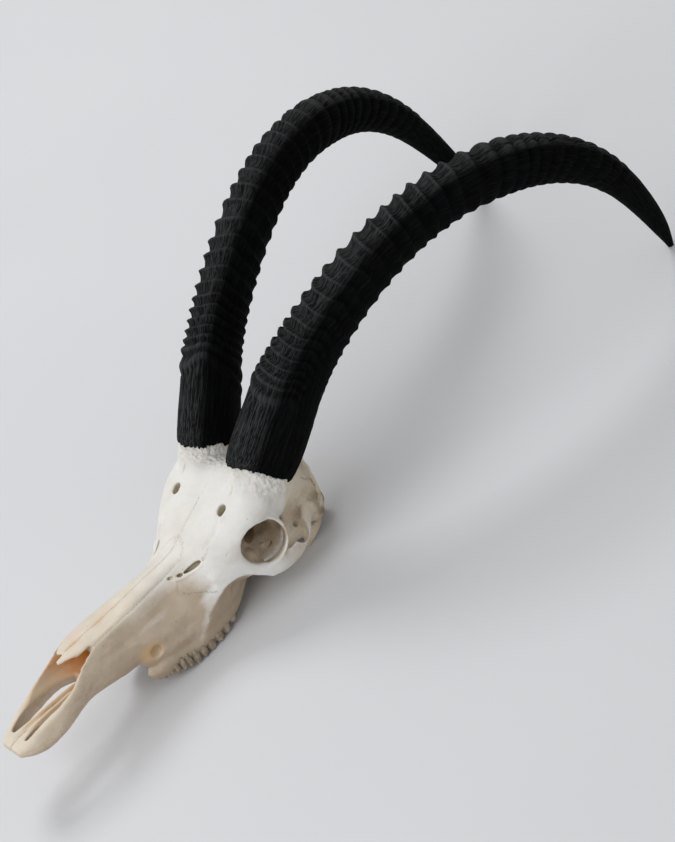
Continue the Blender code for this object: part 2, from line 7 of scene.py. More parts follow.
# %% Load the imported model
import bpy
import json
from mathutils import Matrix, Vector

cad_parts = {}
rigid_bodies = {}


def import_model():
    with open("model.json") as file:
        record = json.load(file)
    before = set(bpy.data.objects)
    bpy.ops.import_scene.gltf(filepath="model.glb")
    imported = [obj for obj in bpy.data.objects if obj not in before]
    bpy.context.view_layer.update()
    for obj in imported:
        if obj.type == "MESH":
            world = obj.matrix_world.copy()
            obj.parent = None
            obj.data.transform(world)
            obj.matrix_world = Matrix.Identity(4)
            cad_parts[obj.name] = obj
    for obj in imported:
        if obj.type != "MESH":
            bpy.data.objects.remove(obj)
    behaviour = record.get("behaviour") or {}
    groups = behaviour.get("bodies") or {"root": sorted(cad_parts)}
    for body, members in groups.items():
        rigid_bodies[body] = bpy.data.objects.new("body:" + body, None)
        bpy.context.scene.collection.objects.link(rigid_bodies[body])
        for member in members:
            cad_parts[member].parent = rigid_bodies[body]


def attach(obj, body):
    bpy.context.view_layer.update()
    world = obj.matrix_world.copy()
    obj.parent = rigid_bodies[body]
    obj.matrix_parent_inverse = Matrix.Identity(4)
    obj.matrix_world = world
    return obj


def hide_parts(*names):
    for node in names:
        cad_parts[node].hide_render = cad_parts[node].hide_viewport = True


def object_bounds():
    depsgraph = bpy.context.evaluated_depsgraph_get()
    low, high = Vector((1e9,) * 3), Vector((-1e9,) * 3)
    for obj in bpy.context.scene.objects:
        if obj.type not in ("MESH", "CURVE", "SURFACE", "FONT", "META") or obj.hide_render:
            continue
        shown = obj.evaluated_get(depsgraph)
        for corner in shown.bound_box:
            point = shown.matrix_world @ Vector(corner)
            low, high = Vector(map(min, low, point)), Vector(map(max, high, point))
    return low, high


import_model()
cad_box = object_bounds()
print("CAD box, m:", [[round(v, 4) for v in corner] for corner in cad_box])

# %% [markdown]
# A skull is easiest to describe in the animal's own frame: X to its left, Y from the tip of the
# nose to the back of the head, Z up, all in millimetres. The finished meshes are then tipped
# nose-up by 14 degrees and moved, because that is how the part rests. One matrix does both, and
# it is applied to each mesh, so that every object stays at the origin.

# %% Frame of the animal and frame of the part
import json
import math

import bmesh
import bpy
import numpy as np
from mathutils import Matrix, Vector, noise
from mathutils.bvhtree import BVHTree
from mathutils.kdtree import KDTree

MM = 0.001
REST_PITCH = math.radians(14.0)
REST = Matrix.Translation(Vector((0.0, -418.4, 65.7)) * MM) @ Matrix.Rotation(-REST_PITCH, 4, "X")
SETTLE = REST @ Matrix.Scale(MM, 4)
print("the nose tip rests at", [round(v, 4) for v in SETTLE @ Vector((0, 0, 0))])

# %% [markdown]
# The camera could be placed by eye, but the photograph's own view was solved from matching
# points on the two sides of the skull. Its place and its three directions are given in the
# animal's frame and carried along by the same matrix as the skull.

# %% Camera
EYE = Vector((1630.672, -561.093, 1259.401)) * MM
RIGHT = Vector((0.63639514, 0.72850194, -0.25354713))
DOWN = Vector((0.26176111, -0.51315511, -0.81740623))
AHEAD = Vector((-0.72559103, 0.45382458, -0.51726289))
FOCAL_PIXELS = 2193.457
PHOTO_HEIGHT = 842  # pixels; the sensor's width spans the picture's longer side

scene = bpy.context.scene
camera = bpy.data.objects.new("photo_camera", bpy.data.cameras.new("photo_camera"))
scene.collection.objects.link(camera)
camera.data.sensor_width = 36.0
camera.data.lens = FOCAL_PIXELS / PHOTO_HEIGHT * camera.data.sensor_width
camera.matrix_world = REST @ Matrix(
    [(RIGHT[i], -DOWN[i], -AHEAD[i], EYE[i]) for i in range(3)] + [(0, 0, 0, 1)]
)
scene.camera = camera
print("lens, mm:", round(camera.data.lens, 2))

# %% [markdown]
# Materials are node trees. A few small helpers keep them readable: one adds a node and fills its
# sockets, others mix two colours by a mask, stretch a range, or read noise. Every pattern reads
# Object coordinates, which are metres here, or an attribute that a later cell stores on the mesh.

# %% Helpers for materials
def new_material(name, **constants):
    """A material with a Principled BSDF whose plain values are set on its own sockets."""
    material = bpy.data.materials.new(name)
    material.use_nodes = True
    shader = material.node_tree.nodes["Principled BSDF"]
    for socket, value in constants.items():
        shader.inputs[socket.replace("_", " ")].default_value = value
    return material, material.node_tree, shader


def add_node(tree, kind, inputs=None, **settings):
    """A node of the given kind. An input is a plain value or another node's output."""
    made = tree.nodes.new(kind)
    for key, value in settings.items():
        setattr(made, key, value)
    for socket, value in (inputs or {}).items():
        if isinstance(value, bpy.types.NodeSocket):
            tree.links.new(value, made.inputs[socket])
        else:
            made.inputs[socket].default_value = value
    return made


def mix_colour(tree, mask, first, second):
    """first where the mask is 0, second where it is 1."""
    made = add_node(tree, "ShaderNodeMix", {0: mask, 6: first, 7: second}, data_type="RGBA")
    return made.outputs[2]


def spread(tree, value, low, high, to_low=0.0, to_high=1.0):
    """Stretches low..high to to_low..to_high and clamps what lies outside."""
    inputs = {"Value": value, "From Min": low, "From Max": high, "To Min": to_low, "To Max": to_high}
    return add_node(tree, "ShaderNodeMapRange", inputs).outputs[0]


def times(tree, first, second):
    return add_node(tree, "ShaderNodeMath", {0: first, 1: second}, operation="MULTIPLY").outputs[0]


def sum_of(tree, first, second):
    return add_node(tree, "ShaderNodeMath", {0: first, 1: second}, operation="ADD").outputs[0]


def attribute(tree, name):
    return add_node(tree, "ShaderNodeAttribute", attribute_name=name)


def object_noise(tree, size, detail=4.0, roughness=0.55, stretch=(1, 1, 1)):
    """Noise whose blotches are about `size` metres across, in Object coordinates."""
    place = add_node(tree, "ShaderNodeTexCoord").outputs["Object"]
    place = add_node(tree, "ShaderNodeMapping", {"Vector": place, "Scale": stretch}).outputs[0]
    inputs = {"Vector": place, "Scale": 1 / size, "Detail": detail, "Roughness": roughness}
    return add_node(tree, "ShaderNodeTexNoise", inputs).outputs[0]


def noise_along(tree, run, size, detail=2.0):
    """Noise that changes only along a line; `run` and `size` are in the same unit."""
    place = times(tree, run, 1 / size)
    settings = {"W": place, "Scale": 1.0, "Detail": detail}
    return add_node(tree, "ShaderNodeTexNoise", settings, noise_dimensions="1D").outputs[0]


print("material helpers ready")

# %% [markdown]
# The floor is one pale matt sheet, large enough to fill the view. The light is plain and soft:
# a very large cool lamp in front, like a window, a smaller one above and to the animal's right,
# and an even, slightly warm grey all round. The small one draws the broad shadow on the floor.

# %% Floor and light
FLOOR_HALF = 9.0
bm = bmesh.new()
bmesh.ops.create_grid(bm, x_segments=2, y_segments=2, size=FLOOR_HALF)
floor = bpy.data.objects.new("pale_floor", bpy.data.meshes.new("pale_floor"))
bm.to_mesh(floor.data)
bm.free()
scene.collection.objects.link(floor)
paper, tree, shader = new_material("pale_paper", Roughness=0.9)
tone = spread(tree, object_noise(tree, 0.6, 2.0), 0.35, 0.65)
paper_colour = mix_colour(tree, tone, (0.715, 0.725, 0.75, 1), (0.735, 0.745, 0.77, 1))
tree.links.new(paper_colour, shader.inputs["Base Color"])
floor.data.materials.append(paper)

scene.view_settings.view_transform = "Standard"
world = bpy.data.worlds.new("studio")
world.use_nodes = True
world.node_tree.nodes["Background"].inputs[0].default_value = (1.0, 0.99, 0.975, 1.0)
world.node_tree.nodes["Background"].inputs[1].default_value = 0.42
scene.world = world

MIDDLE_OF_SKULL = Vector((0.0, -0.15, 0.1))


def area_light(name, towards, distance, size, watts, colour=(1, 1, 1)):
    """A square lamp that shines along `towards` at the middle of the skull."""
    lamp = bpy.data.lights.new(name, "AREA")
    lamp.size = size
    lamp.energy = watts
    lamp.color = colour
    holder = bpy.data.objects.new(name, lamp)
    scene.collection.objects.link(holder)
    aim = Vector(towards).normalized()
    holder.location = MIDDLE_OF_SKULL - aim * distance
    holder.rotation_mode = "QUATERNION"
    holder.rotation_quaternion = aim.to_track_quat("-Z", "Y")
    return holder


area_light("window", (-0.10, 0.75, -0.65), 3.2, 3.0, 52.0, (0.97, 0.985, 1.0))
area_light("soft_box", (0.56, -0.30, -0.77), 4.4, 1.6, 66.0)
print("floor and light ready")

# %% [markdown]
# Bones and horns are all rounded forms along a curved course. Such a form could be extruded by
# hand, but a row of rings bridged into one skin follows given measurements better. A ring is
# made by the circle operator and pulled onto its points. The rings between the given ones come
# from a smooth curve through them.

# %% Rings, skins and limbs
def fade_in(value, low, high):
    """0 below `low`, 1 above `high`, and a smooth rise between."""
    share = np.clip((value - low) / (high - low), 0, 1)
    return share * share * (3 - 2 * share)


def band(value, low, from_low, to_high, high):
    """1 between the two middle values and 0 beyond the outer two."""
    return fade_in(value, low, from_low) * (1 - fade_in(value, to_high, high))


def smooth_course(rows, spans):
    """Rows of numbers joined by a smooth curve through every row, `spans` steps between two."""
    given = np.array(rows, float)
    ends = np.vstack([2 * given[0] - given[1], given, 2 * given[-1] - given[-2]])
    made = []
    for i in range(1, len(ends) - 2):
        before, start, stop, after = ends[i - 1 : i + 3]
        for t in np.arange(spans) / spans:
            made.append(
                0.5 * (2 * start + (stop - before) * t
                       + (2 * before - 5 * start + 4 * stop - after) * t ** 2
                       + (3 * start - before - 3 * stop + after) * t ** 3)
            )
    return np.array(made + [given[-1]])


def add_ring(bm, points):
    """A circle of edges with its points pulled to the given places."""
    verts = bmesh.ops.create_circle(bm, segments=len(points), radius=1.0)["verts"]
    for vert, point in zip(verts, points):
        vert.co = point
    edges = []
    for vert in verts:
        edges += [edge for edge in vert.link_edges if edge not in edges]
    return edges


def skin_rings(bm, rings, closed=False):
    """Bridges a row of rings. The ends are capped, or joined to each other if closed."""
    made = [add_ring(bm, points) for points in rings]
    pairs = list(zip(made, made[1:])) + ([(made[-1], made[0])] if closed else [])
    faces = []
    for lower, upper in pairs:
        faces += bmesh.ops.bridge_loops(bm, edges=lower + upper)["faces"]
    for end in () if closed else (made[0], made[-1]):
        faces += bmesh.ops.contextual_create(bm, geom=end)["faces"]
    bmesh.ops.recalc_face_normals(bm, faces=faces)


def limb_rings(rows, sides=16, across=(1, 0, 0), spans=3):
    """Elliptical rings along a course of (x, y, z, half across, half deep)."""
    course = smooth_course(rows, spans)
    centres = course[:, :3]
    along = np.gradient(centres, axis=0)
    along /= np.linalg.norm(along, axis=1)[:, None]
    side = np.array(across, float) - (along @ np.array(across, float))[:, None] * along
    side /= np.linalg.norm(side, axis=1)[:, None]
    deep = np.cross(along, side)
    turn = np.linspace(0, 2 * math.pi, sides, endpoint=False)
    return [
        centre + np.outer(np.cos(turn) * wide, s) + np.outer(np.sin(turn) * tall, d)
        for centre, s, d, (wide, tall) in zip(centres, side, deep, course[:, 3:5])
    ]


def mirrored(rows):
    """The same course on the animal's right side."""
    return tuple((-row[0],) + tuple(row[1:]) for row in rows)


def add_limb(bm, rows, both=True, across=(1, 0, 0)):
    """A limb, and its mirror image on the animal's right."""
    skin_rings(bm, limb_rings(rows, across=across))
    if both:
        skin_rings(bm, limb_rings(mirrored(rows), across=(-across[0], across[1], across[2])))


def add_lump(bm, centre, radii):
    """A rounded lump on each side of the skull."""
    for side in (1, -1):
        place = Matrix.Translation((centre[0] * side, centre[1], centre[2]))
        size = Matrix.Diagonal((*radii, 1.0))
        bmesh.ops.create_icosphere(bm, subdivisions=3, radius=1.0, matrix=place @ size)


print("a limb of two rows has", len(limb_rings(((0, 0, 0, 1, 1), (0, 9, 0, 1, 1)))), "rings")

# %% [markdown]
# The skull's own body is one long form from the nose to the back of the head. Half of each
# outline is given, from the top of the midline to the bottom, and mirrored, because a skull is
# the same on both sides.

# %% Body of the skull
BODY = (
    (-1.0, ((0, 5), (4, 5.5), (9, 5.5), (13, 4), (15, 1), (13.5, -2), (7, -2.5), (0, -2))),
    (12.0, ((0, 9), (8, 10), (16, 11.5), (21.5, 9), (24, 2), (21, -4.5), (10, -4.5), (0, -3))),
    (28.0, ((0, 11), (9, 13), (21, 19), (26, 11), (28, 1.5), (24.5, -5), (10, -4), (0, -2))),
    (42.0, ((0, 15), (12, 18), (23.5, 24.5), (28.5, 14), (28.5, 2), (23, -3), (10, -1), (0, 1))),
    (60.0, ((0, 28), (14, 30), (27.5, 32), (29.5, 20), (28, 7), (21, 3), (10, 4), (0, 5))),
    (76.0, ((0, 40), (14, 41), (27, 40.5), (28, 28), (26, 14), (20, 7), (10, 6), (0, 7))),
    (90.0, ((0, 52), (11, 54), (23, 52.5), (26, 39), (25, 23), (20, 10), (11, 8), (0, 8))),
    (104.0, ((0, 62.5), (11, 62), (20.5, 60), (25.5, 47.5), (25.5, 30), (23, 13), (12, 9), (0, 10))),
    (130.0, ((0, 66), (11, 65.5), (20.5, 63.5), (25, 50), (27, 33), (25, 13), (14, 9), (0, 11))),
    (146.0, ((0, 68.5), (11, 68), (20, 65), (26, 52), (30, 36), (28.5, 16), (16, 11), (0, 12))),
    (164.0, ((0, 71.7), (11, 71), (19.5, 66.5), (27.5, 54), (34, 37), (33, 13), (18, 9), (0, 13))),
    (200.0, ((0, 78.2), (11, 77), (19, 70.5), (30, 56.5), (39.5, 41), (38, 18), (24, 12), (0, 17))),
    (230.0, ((0, 84.6), (14, 82.5), (26.5, 76.5), (39, 67.5), (46, 52.5), (38, 26), (26, 18), (0, 22))),
    (245.0, ((0, 94), (20, 92.5), (36, 87), (48, 76.5), (52, 59), (40, 33), (26, 23), (0, 25))),
    (258.0, ((0, 103.3), (25, 103.5), (45, 98), (57.5, 86), (57, 64), (42, 40), (26, 28), (0, 28))),
    (278.0, ((0, 117), (30, 118), (55, 113), (68, 99), (62, 72), (44, 48), (26, 34), (0, 31))),
    (298.0, ((0, 128), (34, 131), (62, 124), (72, 106), (60, 78), (44, 54), (30, 38), (0, 33))),
    (316.0, ((0, 135), (38, 138), (65, 126), (69, 108), (50, 84), (43, 60), (32, 40), (0, 34))),
    (340.0, ((0, 128), (24, 126), (46, 114), (54, 100), (45, 84), (41, 62), (30, 44), (0, 37))),
    (365.0, ((0, 113), (20, 111), (34, 101), (40, 87), (42, 71), (41, 55), (28, 46), (0, 40))),
    (384.0, ((0, 101), (18, 99), (30, 90), (37, 78), (39, 65), (39, 53), (25, 45), (0, 42))),
    (394.0, ((0, 88), (14, 86), (24, 80), (30, 72), (31, 63), (27, 54), (18, 49), (0, 48))),
)


def body_rings():
    """Full outlines of the body, smoothed along it and around it."""
    rows = [[y] + [value for point in outline for value in point] for y, outline in BODY]
    rings = []
    for row in smooth_course(rows, 3):
        half = row[1:].reshape(-1, 2)
        whole = np.vstack([half, (half * (-1, 1))[-2:0:-1]])
        around = smooth_course(np.vstack([whole, whole[:3]]), 3)[3:-3]
        rings.append([(x, row[0], z) for x, z in around])
    return rings


print("body:", len(body_rings()), "rings")

# %% [markdown]
# The other bones are limbs and lumps laid over the body: the thin tip of the nasals, the bone
# that holds the teeth, the cheek arch, the pedicle under each horn, the crest at the back. They
# overlap freely here, because a Remesh modifier will make them one bone later.

# %% Bones laid over the body, left side
NASAL_TIP = (
    (9.6, 118, 61.2, 10, 3.2), (9, 100, 60.2, 9.4, 2.8), (6.6, 85, 58.6, 6.6, 2.3),
    (4.4, 73, 56.6, 3.4, 1.5),
)
SHORT_NASAL_TIP = (
    (9.6, 118, 61.2, 10, 3.2), (9, 103, 60.4, 9.4, 2.8), (6.8, 91, 59.4, 6.8, 2.2),
    (4.6, 81, 58.2, 3.4, 1.5),
)
ALVEOLAR_BONE = (
    (25, 152, 2.5, 4, 8), (27, 159, -1.5, 7.2, 12.5), (29, 168, -0.5, 9.3, 12.8),
    (29.5, 180, 0, 9.4, 12.6), (32, 200, 0.5, 10.3, 13), (34, 222, 4.5, 10, 13.5),
    (34.5, 242, 12, 10, 13.5), (33.5, 257, 19, 9, 12.5), (33, 270, 29.5, 7, 9.5), (33, 282, 41, 5, 8),
)
CHEEK_WALL = (
    (23, 150, 16, 7, 10), (27, 160, 15, 8, 12), (29.5, 178, 15, 9, 13), (32, 200, 18, 10, 15),
    (35, 222, 22, 11.2, 15), (36.5, 242, 29, 10.6, 16), (37, 258, 36, 9.5, 14), (36, 270, 43, 7, 10),
)
MALAR = (
    (46, 240, 56, 6, 11), (51, 250, 60, 6.5, 12), (55.5, 260, 62, 6.5, 11), (59, 269, 60, 5.5, 9),
    (62.5, 279, 55, 4.5, 7), (65, 290, 49, 4, 6),
)
ZYGOMATIC = (
    (36, 208, 30, 6, 13), (44, 228, 36, 5.5, 13), (52, 248, 45, 5.5, 12), (61, 270, 50, 5, 10),
    (67, 288, 46, 4, 8.8), (72, 306, 46, 3.4, 9.6), (72.5, 326, 50, 3, 9.6),
    (66.5, 343, 56.5, 3.4, 8.6), (52, 358, 63, 5, 7.5), (40, 366, 66, 6, 8),
)
PEDICLE = (
    (40, 300, 84, 22, 24), (42, 316, 104, 26, 31), (43, 326, 118, 27.5, 34), (46, 342, 143, 27.5, 35),
)
NUCHAL_CREST = (
    (0, 391, 102, 4, 3.6), (14, 391, 100, 4, 3.6), (28, 389, 92, 4, 3.6), (39, 386, 79, 4, 3.6),
    (43.5, 383, 62, 5, 4), (45, 379, 47, 5, 5),
)
PAROCCIPITAL = (
    (40, 376, 54, 8, 11), (42, 369, 42, 8, 9), (41.5, 362, 31, 6, 6.5), (40, 355, 20.5, 3.6, 4),
)
PTERYGOID = (
    (24, 262, 28, 3.4, 12), (22, 284, 30, 3, 14), (20, 306, 33, 3, 14), (17, 326, 36, 2.6, 11),
    (14, 340, 40, 2.2, 6),
)
SIDE_WALL = ((32, 292, 50, 8, 11), (33, 312, 45, 11, 14), (33, 336, 43, 11, 14), (33, 358, 46, 8, 11))
SKULL_BASE = ((0, 268, 36, 14, 8), (0, 310, 38, 12, 7), (0, 350, 42, 16, 7), (0, 386, 47, 18, 7))
CONDYLE = ((19, 391, 48), (11, 12, 14))
BULLA = ((31, 350, 42), (12, 16, 13))
EAR_BONE = ((44, 370, 55), (9, 12, 14))
EYE_FLOOR = ((44, 280, 50), (15, 22, 10))
# Inside the eye socket: a thin-walled swelling at its front and a plate at its back
TEAR_BULB = ((47, 282, 58), (10, 11, 10))
SOCKET_PLATE = ((49, 300, 60, 2.2, 5), (47, 308, 58, 1.6, 4), (43, 317, 57, 1.4, 3))

ORBIT_CENTRE = (69.0, 292.5, 77.5)
ORBIT_FACING = (0.951, -0.292, 0.0985)
ORBIT_RADIUS = 26.6
ORBIT_COLLAR = (1.9, 7.5, -6.8)  # half thickness, half depth, place of its middle on the axis


def add_orbit_collars(bm):
    """A collar of bone round each eye socket, flush with the face and reaching inwards."""
    thick, deep, inset = ORBIT_COLLAR
    for side in (1, -1):
        facing = np.array((ORBIT_FACING[0] * side, *ORBIT_FACING[1:]))
        facing /= np.linalg.norm(facing)
        centre = np.array((ORBIT_CENTRE[0] * side, *ORBIT_CENTRE[1:])) + inset * facing
        up = np.array((0.0, 0.0, 1.0)) - facing[2] * facing
        up /= np.linalg.norm(up)
        back = np.cross(facing, up)
        section = np.linspace(0, 2 * math.pi, 12, endpoint=False)
        rings = []
        for turn in np.linspace(0, 2 * math.pi, 48, endpoint=False):
            out = math.cos(turn) * up + math.sin(turn) * back
            middle = centre + out * ORBIT_RADIUS
            rings.append([middle + thick * math.cos(a) * out + deep * math.sin(a) * facing
                          for a in section])
        skin_rings(bm, rings, closed=True)


def socket_forms():
    """Thin forms inside the eye sockets, added after the sockets are hollowed out."""
    bm = bmesh.new()
    add_lump(bm, *TEAR_BULB)
    add_limb(bm, SOCKET_PLATE)
    return bm


def bone_forms():
    bm = bmesh.new()
    skin_rings(bm, body_rings())
    add_limb(bm, NASAL_TIP, both=False)
    add_limb(bm, mirrored(SHORT_NASAL_TIP), both=False)
    for rows in (ALVEOLAR_BONE, CHEEK_WALL, MALAR, ZYGOMATIC, PEDICLE):
        add_limb(bm, rows)
    for rows in (NUCHAL_CREST, PAROCCIPITAL, PTERYGOID, SIDE_WALL):
        add_limb(bm, rows)
    add_limb(bm, SKULL_BASE, both=False)
    for centre, radii in (CONDYLE, BULLA, EAR_BONE, EYE_FLOOR):
        add_lump(bm, centre, radii)
    add_orbit_collars(bm)
    return bm


print("cheek arch:", len(limb_rings(ZYGOMATIC)), "rings")

# %% [markdown]
# What is missing makes a skull look like a skull: nose passage, eye sockets, temple, brain case,
# slits and small holes for nerves. They are modelled as solids of their own and taken away with
# a Boolean. The long recess under the cheek's crest is also one of them.

# %% Hollows, left side
ORBIT_HOLLOW = (
    (112, 279, 84, 34, 34), (72, 291.5, 78, 24, 24), (58, 296, 78, 22, 22), (47, 301, 80, 15, 16),
    (38, 306, 81, 8, 9),
)
NASAL_HOLLOW = (
    (0, 14, 26, 8.5, 14), (0, 30, 31, 18, 20), (0, 46, 35, 24, 24), (0, 62, 36, 25.4, 23.5),
    (0, 78, 35, 24.6, 20), (0, 92, 38, 22, 21), (0, 106, 40, 20, 21), (0, 116, 41, 19.5, 21),
    (0, 150, 44, 20, 23), (0, 200, 50, 25, 24), (0, 240, 58, 26, 25), (0, 262, 58, 16, 16),
)
CHOANA = ((0, 236, 44, 9, 10), (0, 262, 30, 12, 11), (0, 290, 15, 12, 13), (0, 316, 4, 13, 12))
PALATINE_SLIT = (
    (11.5, 12, 2, 2.4, 14), (12.6, 26, 2, 6.4, 16), (14.8, 45, 5, 8.8, 16), (15, 62, 7, 9, 17),
    (13.4, 78, 9, 7.4, 18), (11, 95, 10, 3, 14),
)
PALATE_VAULT = (
    (13, 24, -13, 7, 10), (15, 34, -9, 10, 13), (16, 44, -6, 10.5, 13), (16, 56, -4, 10.5, 13),
    (15.5, 68, 0, 10, 13), (15, 80, 2, 8, 12), (13, 94, 0, 7, 11),
)
NOSE_CORNER = (
    (16.5, 64, 36, 7, 8), (17.5, 76, 42, 6.3, 9), (17.4, 86, 48, 5.8, 8), (17.4, 96, 53.5, 4.8, 5.2),
    (18, 103, 57.8, 3.2, 3.2), (18.6, 108, 60.6, 1.6, 1.6),
)
INCISIVE_NOTCH = ((0, -6, 2, 1.7, 6), (0, 0, 3, 1.0, 5), (0, 6, 6, 0.6, 3))
TEMPORAL_HOLLOW = (
    (80, 366, 138, 19, 15), (79, 357, 124, 20, 16), (78, 350, 108, 22, 17), (77, 344.5, 94, 23, 16.5),
    (73, 339.5, 80, 20, 14.5), (64, 337.5, 65, 17, 13), (57, 337, 50, 12, 12), (54, 335, 26, 12, 14),
)
CHEEK_RECESS = (
    (73, 287, 24, 23, 15), (77, 272, 31, 28, 19.5), (76, 257, 37, 28.5, 22.5),
    (72.5, 243, 29, 25, 23.5), (68.5, 230, 12, 22, 21), (66.5, 218, -3, 20, 16),
)
BROW_HOLE = (
    (36.5, 268, 130, 5.0, 6.9), (37.5, 278, 117, 4.8, 6.3), (37.2, 283, 110, 4.4, 5.6),
    (37, 286, 106, 2.6, 3.4),
)
CHEEK_HOLE = (
    (46, 147, 17, 6.6, 7), (37, 158.5, 20.5, 5.8, 7), (33.4, 164, 22, 4.8, 6),
    (31.6, 167.5, 23, 2.4, 3.4),
)
FACE_SLIT = (
    (26, 221, 72.4, 0.5, 6), (28, 226, 73.8, 1.8, 6.5), (30.2, 231, 75.6, 2.5, 7),
    (33, 236, 78, 2.3, 7), (35.6, 239.4, 79.6, 0.6, 6),
)
SLIT_BEADS = (
    ((18.4, 206, 72.6, 0.4, 5), (20, 209.5, 72.4, 1.4, 5), (21.8, 213, 72.3, 0.4, 5)),
    ((22.3, 214.6, 72.2, 0.4, 5), (24.6, 218.2, 72.1, 1.6, 5), (26.4, 221.4, 72.5, 0.5, 5)),
)
FACE_SLIT_ACROSS = (0.55, -0.1, -0.81)
BRAIN_HOLE = (
    (0, 412, 64, 17, 15), (0, 396, 65, 14, 13), (0, 376, 68, 15, 14), (0, 350, 74, 22, 20),
    (0, 330, 78, 12, 12),
)
# A raised rod of bone on each side of the nose's floor, added once the hollows are cut, left one
INCISIVE_ROD = (
    (4.6, 6, 6.4, 2.8, 3), (4.2, 26, 10.8, 2.2, 3), (3.9, 45, 14, 2.0, 3), (3.7, 64, 16.2, 2.0, 3),
    (3.5, 84, 17, 2.1, 3), (3.2, 108, 17.4, 2.2, 3.4),
)


# Small holes and pits, left side: centre, radius
PITS = (
    ((57.7, 257.6, 83.1), 1.5), ((54, 249.8, 71.9), 1.3), ((42.7, 252.2, 92.4), 1.1),
    ((37.9, 241.2, 80.8), 1.8), ((40, 351, 52), 3.2), ((42.5, 364.6, 75.8), 1.4),
    ((38, 384, 84.2), 1.2), ((42, 384.2, 79.1), 1.5), ((44.4, 381.6, 70.3), 1.7),
    ((67.7, 318, 137.4), 1.3), ((71.2, 328, 133.3), 1.1), ((18.9, 138.2, 64.9), 1.0),
    ((17.9, 149.4, 66.4), 0.9), ((19.5, 123.5, 63.3), 1.1), ((17.6, 103, 61.8), 1.4),
    ((41.3, 221.2, 56.3), 1.1), ((48.6, 231.8, 51.9), 1.2), ((65.2, 283.6, 99.6), 2.8),
    ((63.6, 278.8, 96.4), 2.0), ((63.2, 275.0, 91.8), 2.5), ((66, 287.4, 102), 1.7),
)
# Inside the eye socket, left side: two passages that leave it, and a small one behind them
SOCKET_HOLES = (
    ((45, 297, 75, 7, 9), (36, 298, 74, 6, 8), (27, 298, 73, 4, 5)),
    ((54, 299, 56, 4.5, 4.5), (49, 298.5, 49, 4, 4), (43, 298, 42, 3, 3)),
    ((46, 313, 55, 3, 5), (40, 313, 53, 3, 4.5), (33, 313, 51, 2, 3)),
)
EAR_HOLE = ((60, 364, 44, 4, 5), (48, 364, 47, 3.6, 4.4), (38, 363, 50, 2.4, 3))


def fine_hollow_forms():
    """What is too small for the coarse hollows: it is melted together on a finer grid."""
    bm = bmesh.new()
    for rows in (FACE_SLIT,) + SLIT_BEADS:
        add_limb(bm, rows, across=FACE_SLIT_ACROSS)
    for rows in SOCKET_HOLES + (EAR_HOLE,):
        add_limb(bm, rows)
    for centre, radius in PITS:
        add_lump(bm, centre, (radius, radius, radius))
    return bm


def hollow_forms():
    bm = bmesh.new()
    for rows in (NASAL_HOLLOW, CHOANA, BRAIN_HOLE, INCISIVE_NOTCH):
        add_limb(bm, rows, both=False)
    for rows in (ORBIT_HOLLOW, TEMPORAL_HOLLOW, CHEEK_RECESS, BROW_HOLE, CHEEK_HOLE):
        add_limb(bm, rows)
    for rows in (PALATINE_SLIT, PALATE_VAULT, NOSE_CORNER):
        add_limb(bm, rows)
    return bm


print("pits and small holes on each side:", len(PITS) + len(SOCKET_HOLES) + 1)

# %% [markdown]
# A horn is a tube that bends and tapers, with about thirty rings. It could be lofted ring by
# ring, but a flat grid rolled into a tube gives an even mesh with room for the fibres. Each
# grid point has a place along the horn and an angle around it. The course of the left horn
# gives its lean backwards and outwards and its half sizes at shares of its length.

# %% Course of a horn
HORN_LENGTH = 680.0
HORN_FOOT = np.array((42.0, 332.0, 132.0))
HORN_COURSE = (
    (0.0, 24.0, 11.5, 34.2, 27.0), (0.08, 33.0, 12.2, 37.2, 29.0), (0.2, 47.0, 13.5, 33.2, 26.2),
    (0.4, 67.0, 15.5, 29.5, 24.0), (0.6, 102.0, 12.0, 26.5, 22.0), (0.8, 142.0, 1.0, 17.0, 15.0),
    (0.93, 152.0, -7.0, 10.2, 9.4), (1.0, 156.0, -11.0, 3.4, 3.2),
)
SECTION_TWIST = math.radians(20.0)  # at the foot
FOOT_FORWARD = 3.0  # mm by which the foot is pulled forwards out of the curve
RIM_FACING = (0.12, 0.58, 0.81)  # the lower rim lies in a slanting plane
RIM_RISE = 2.7  # mm from the foot to that plane
RINGS_START = 90.0  # mm along the horn; the part below it is slid to the slanting rim
RING_SPACINGS = (
    9, 9, 9, 10, 11, 10, 12, 15, 17, 15, 19, 19, 17, 16, 16, 16, 16, 16, 20, 20, 18, 14, 12, 12, 14, 13,
    16, 17, 16, 15, 15,
)
RING_RELIEF = 5.4  # mm from valley to crest, at the front
RING_BACK_SHARE = 0.35  # of that relief at the back


def horn_course(share):
    """Centre, forward, sideways and lengthwise directions and half sizes at shares of the length."""
    table = smooth_course(HORN_COURSE, 12)
    fine = np.linspace(0, 1, 341)
    back, out, deep, wide = (np.interp(fine, table[:, 0], table[:, i]) for i in (1, 2, 3, 4))
    back, out = np.radians(back), np.radians(out)
    along = np.stack([np.sin(out), np.sin(back) * np.cos(out), np.cos(back) * np.cos(out)], 1)
    step = HORN_LENGTH / (len(fine) - 1)
    centre = HORN_FOOT + np.vstack([np.zeros(3), np.cumsum((along[1:] + along[:-1]) / 2 * step, axis=0)])
    here = np.stack([np.interp(share, fine, column) for column in (*centre.T, *along.T, deep, wide)], 1)
    here[:, 1] -= FOOT_FORWARD * (1 - fade_in(share, 0.0, 0.16))
    along = here[:, 3:6] / np.linalg.norm(here[:, 3:6], axis=1)[:, None]
    level = np.array((1.0, 0.0, 0.0))
    sideways = level - (along @ level)[:, None] * along
    sideways /= np.linalg.norm(sideways, axis=1)[:, None]
    return here[:, :3], np.cross(sideways, along), sideways, along, here[:, 6], here[:, 7]


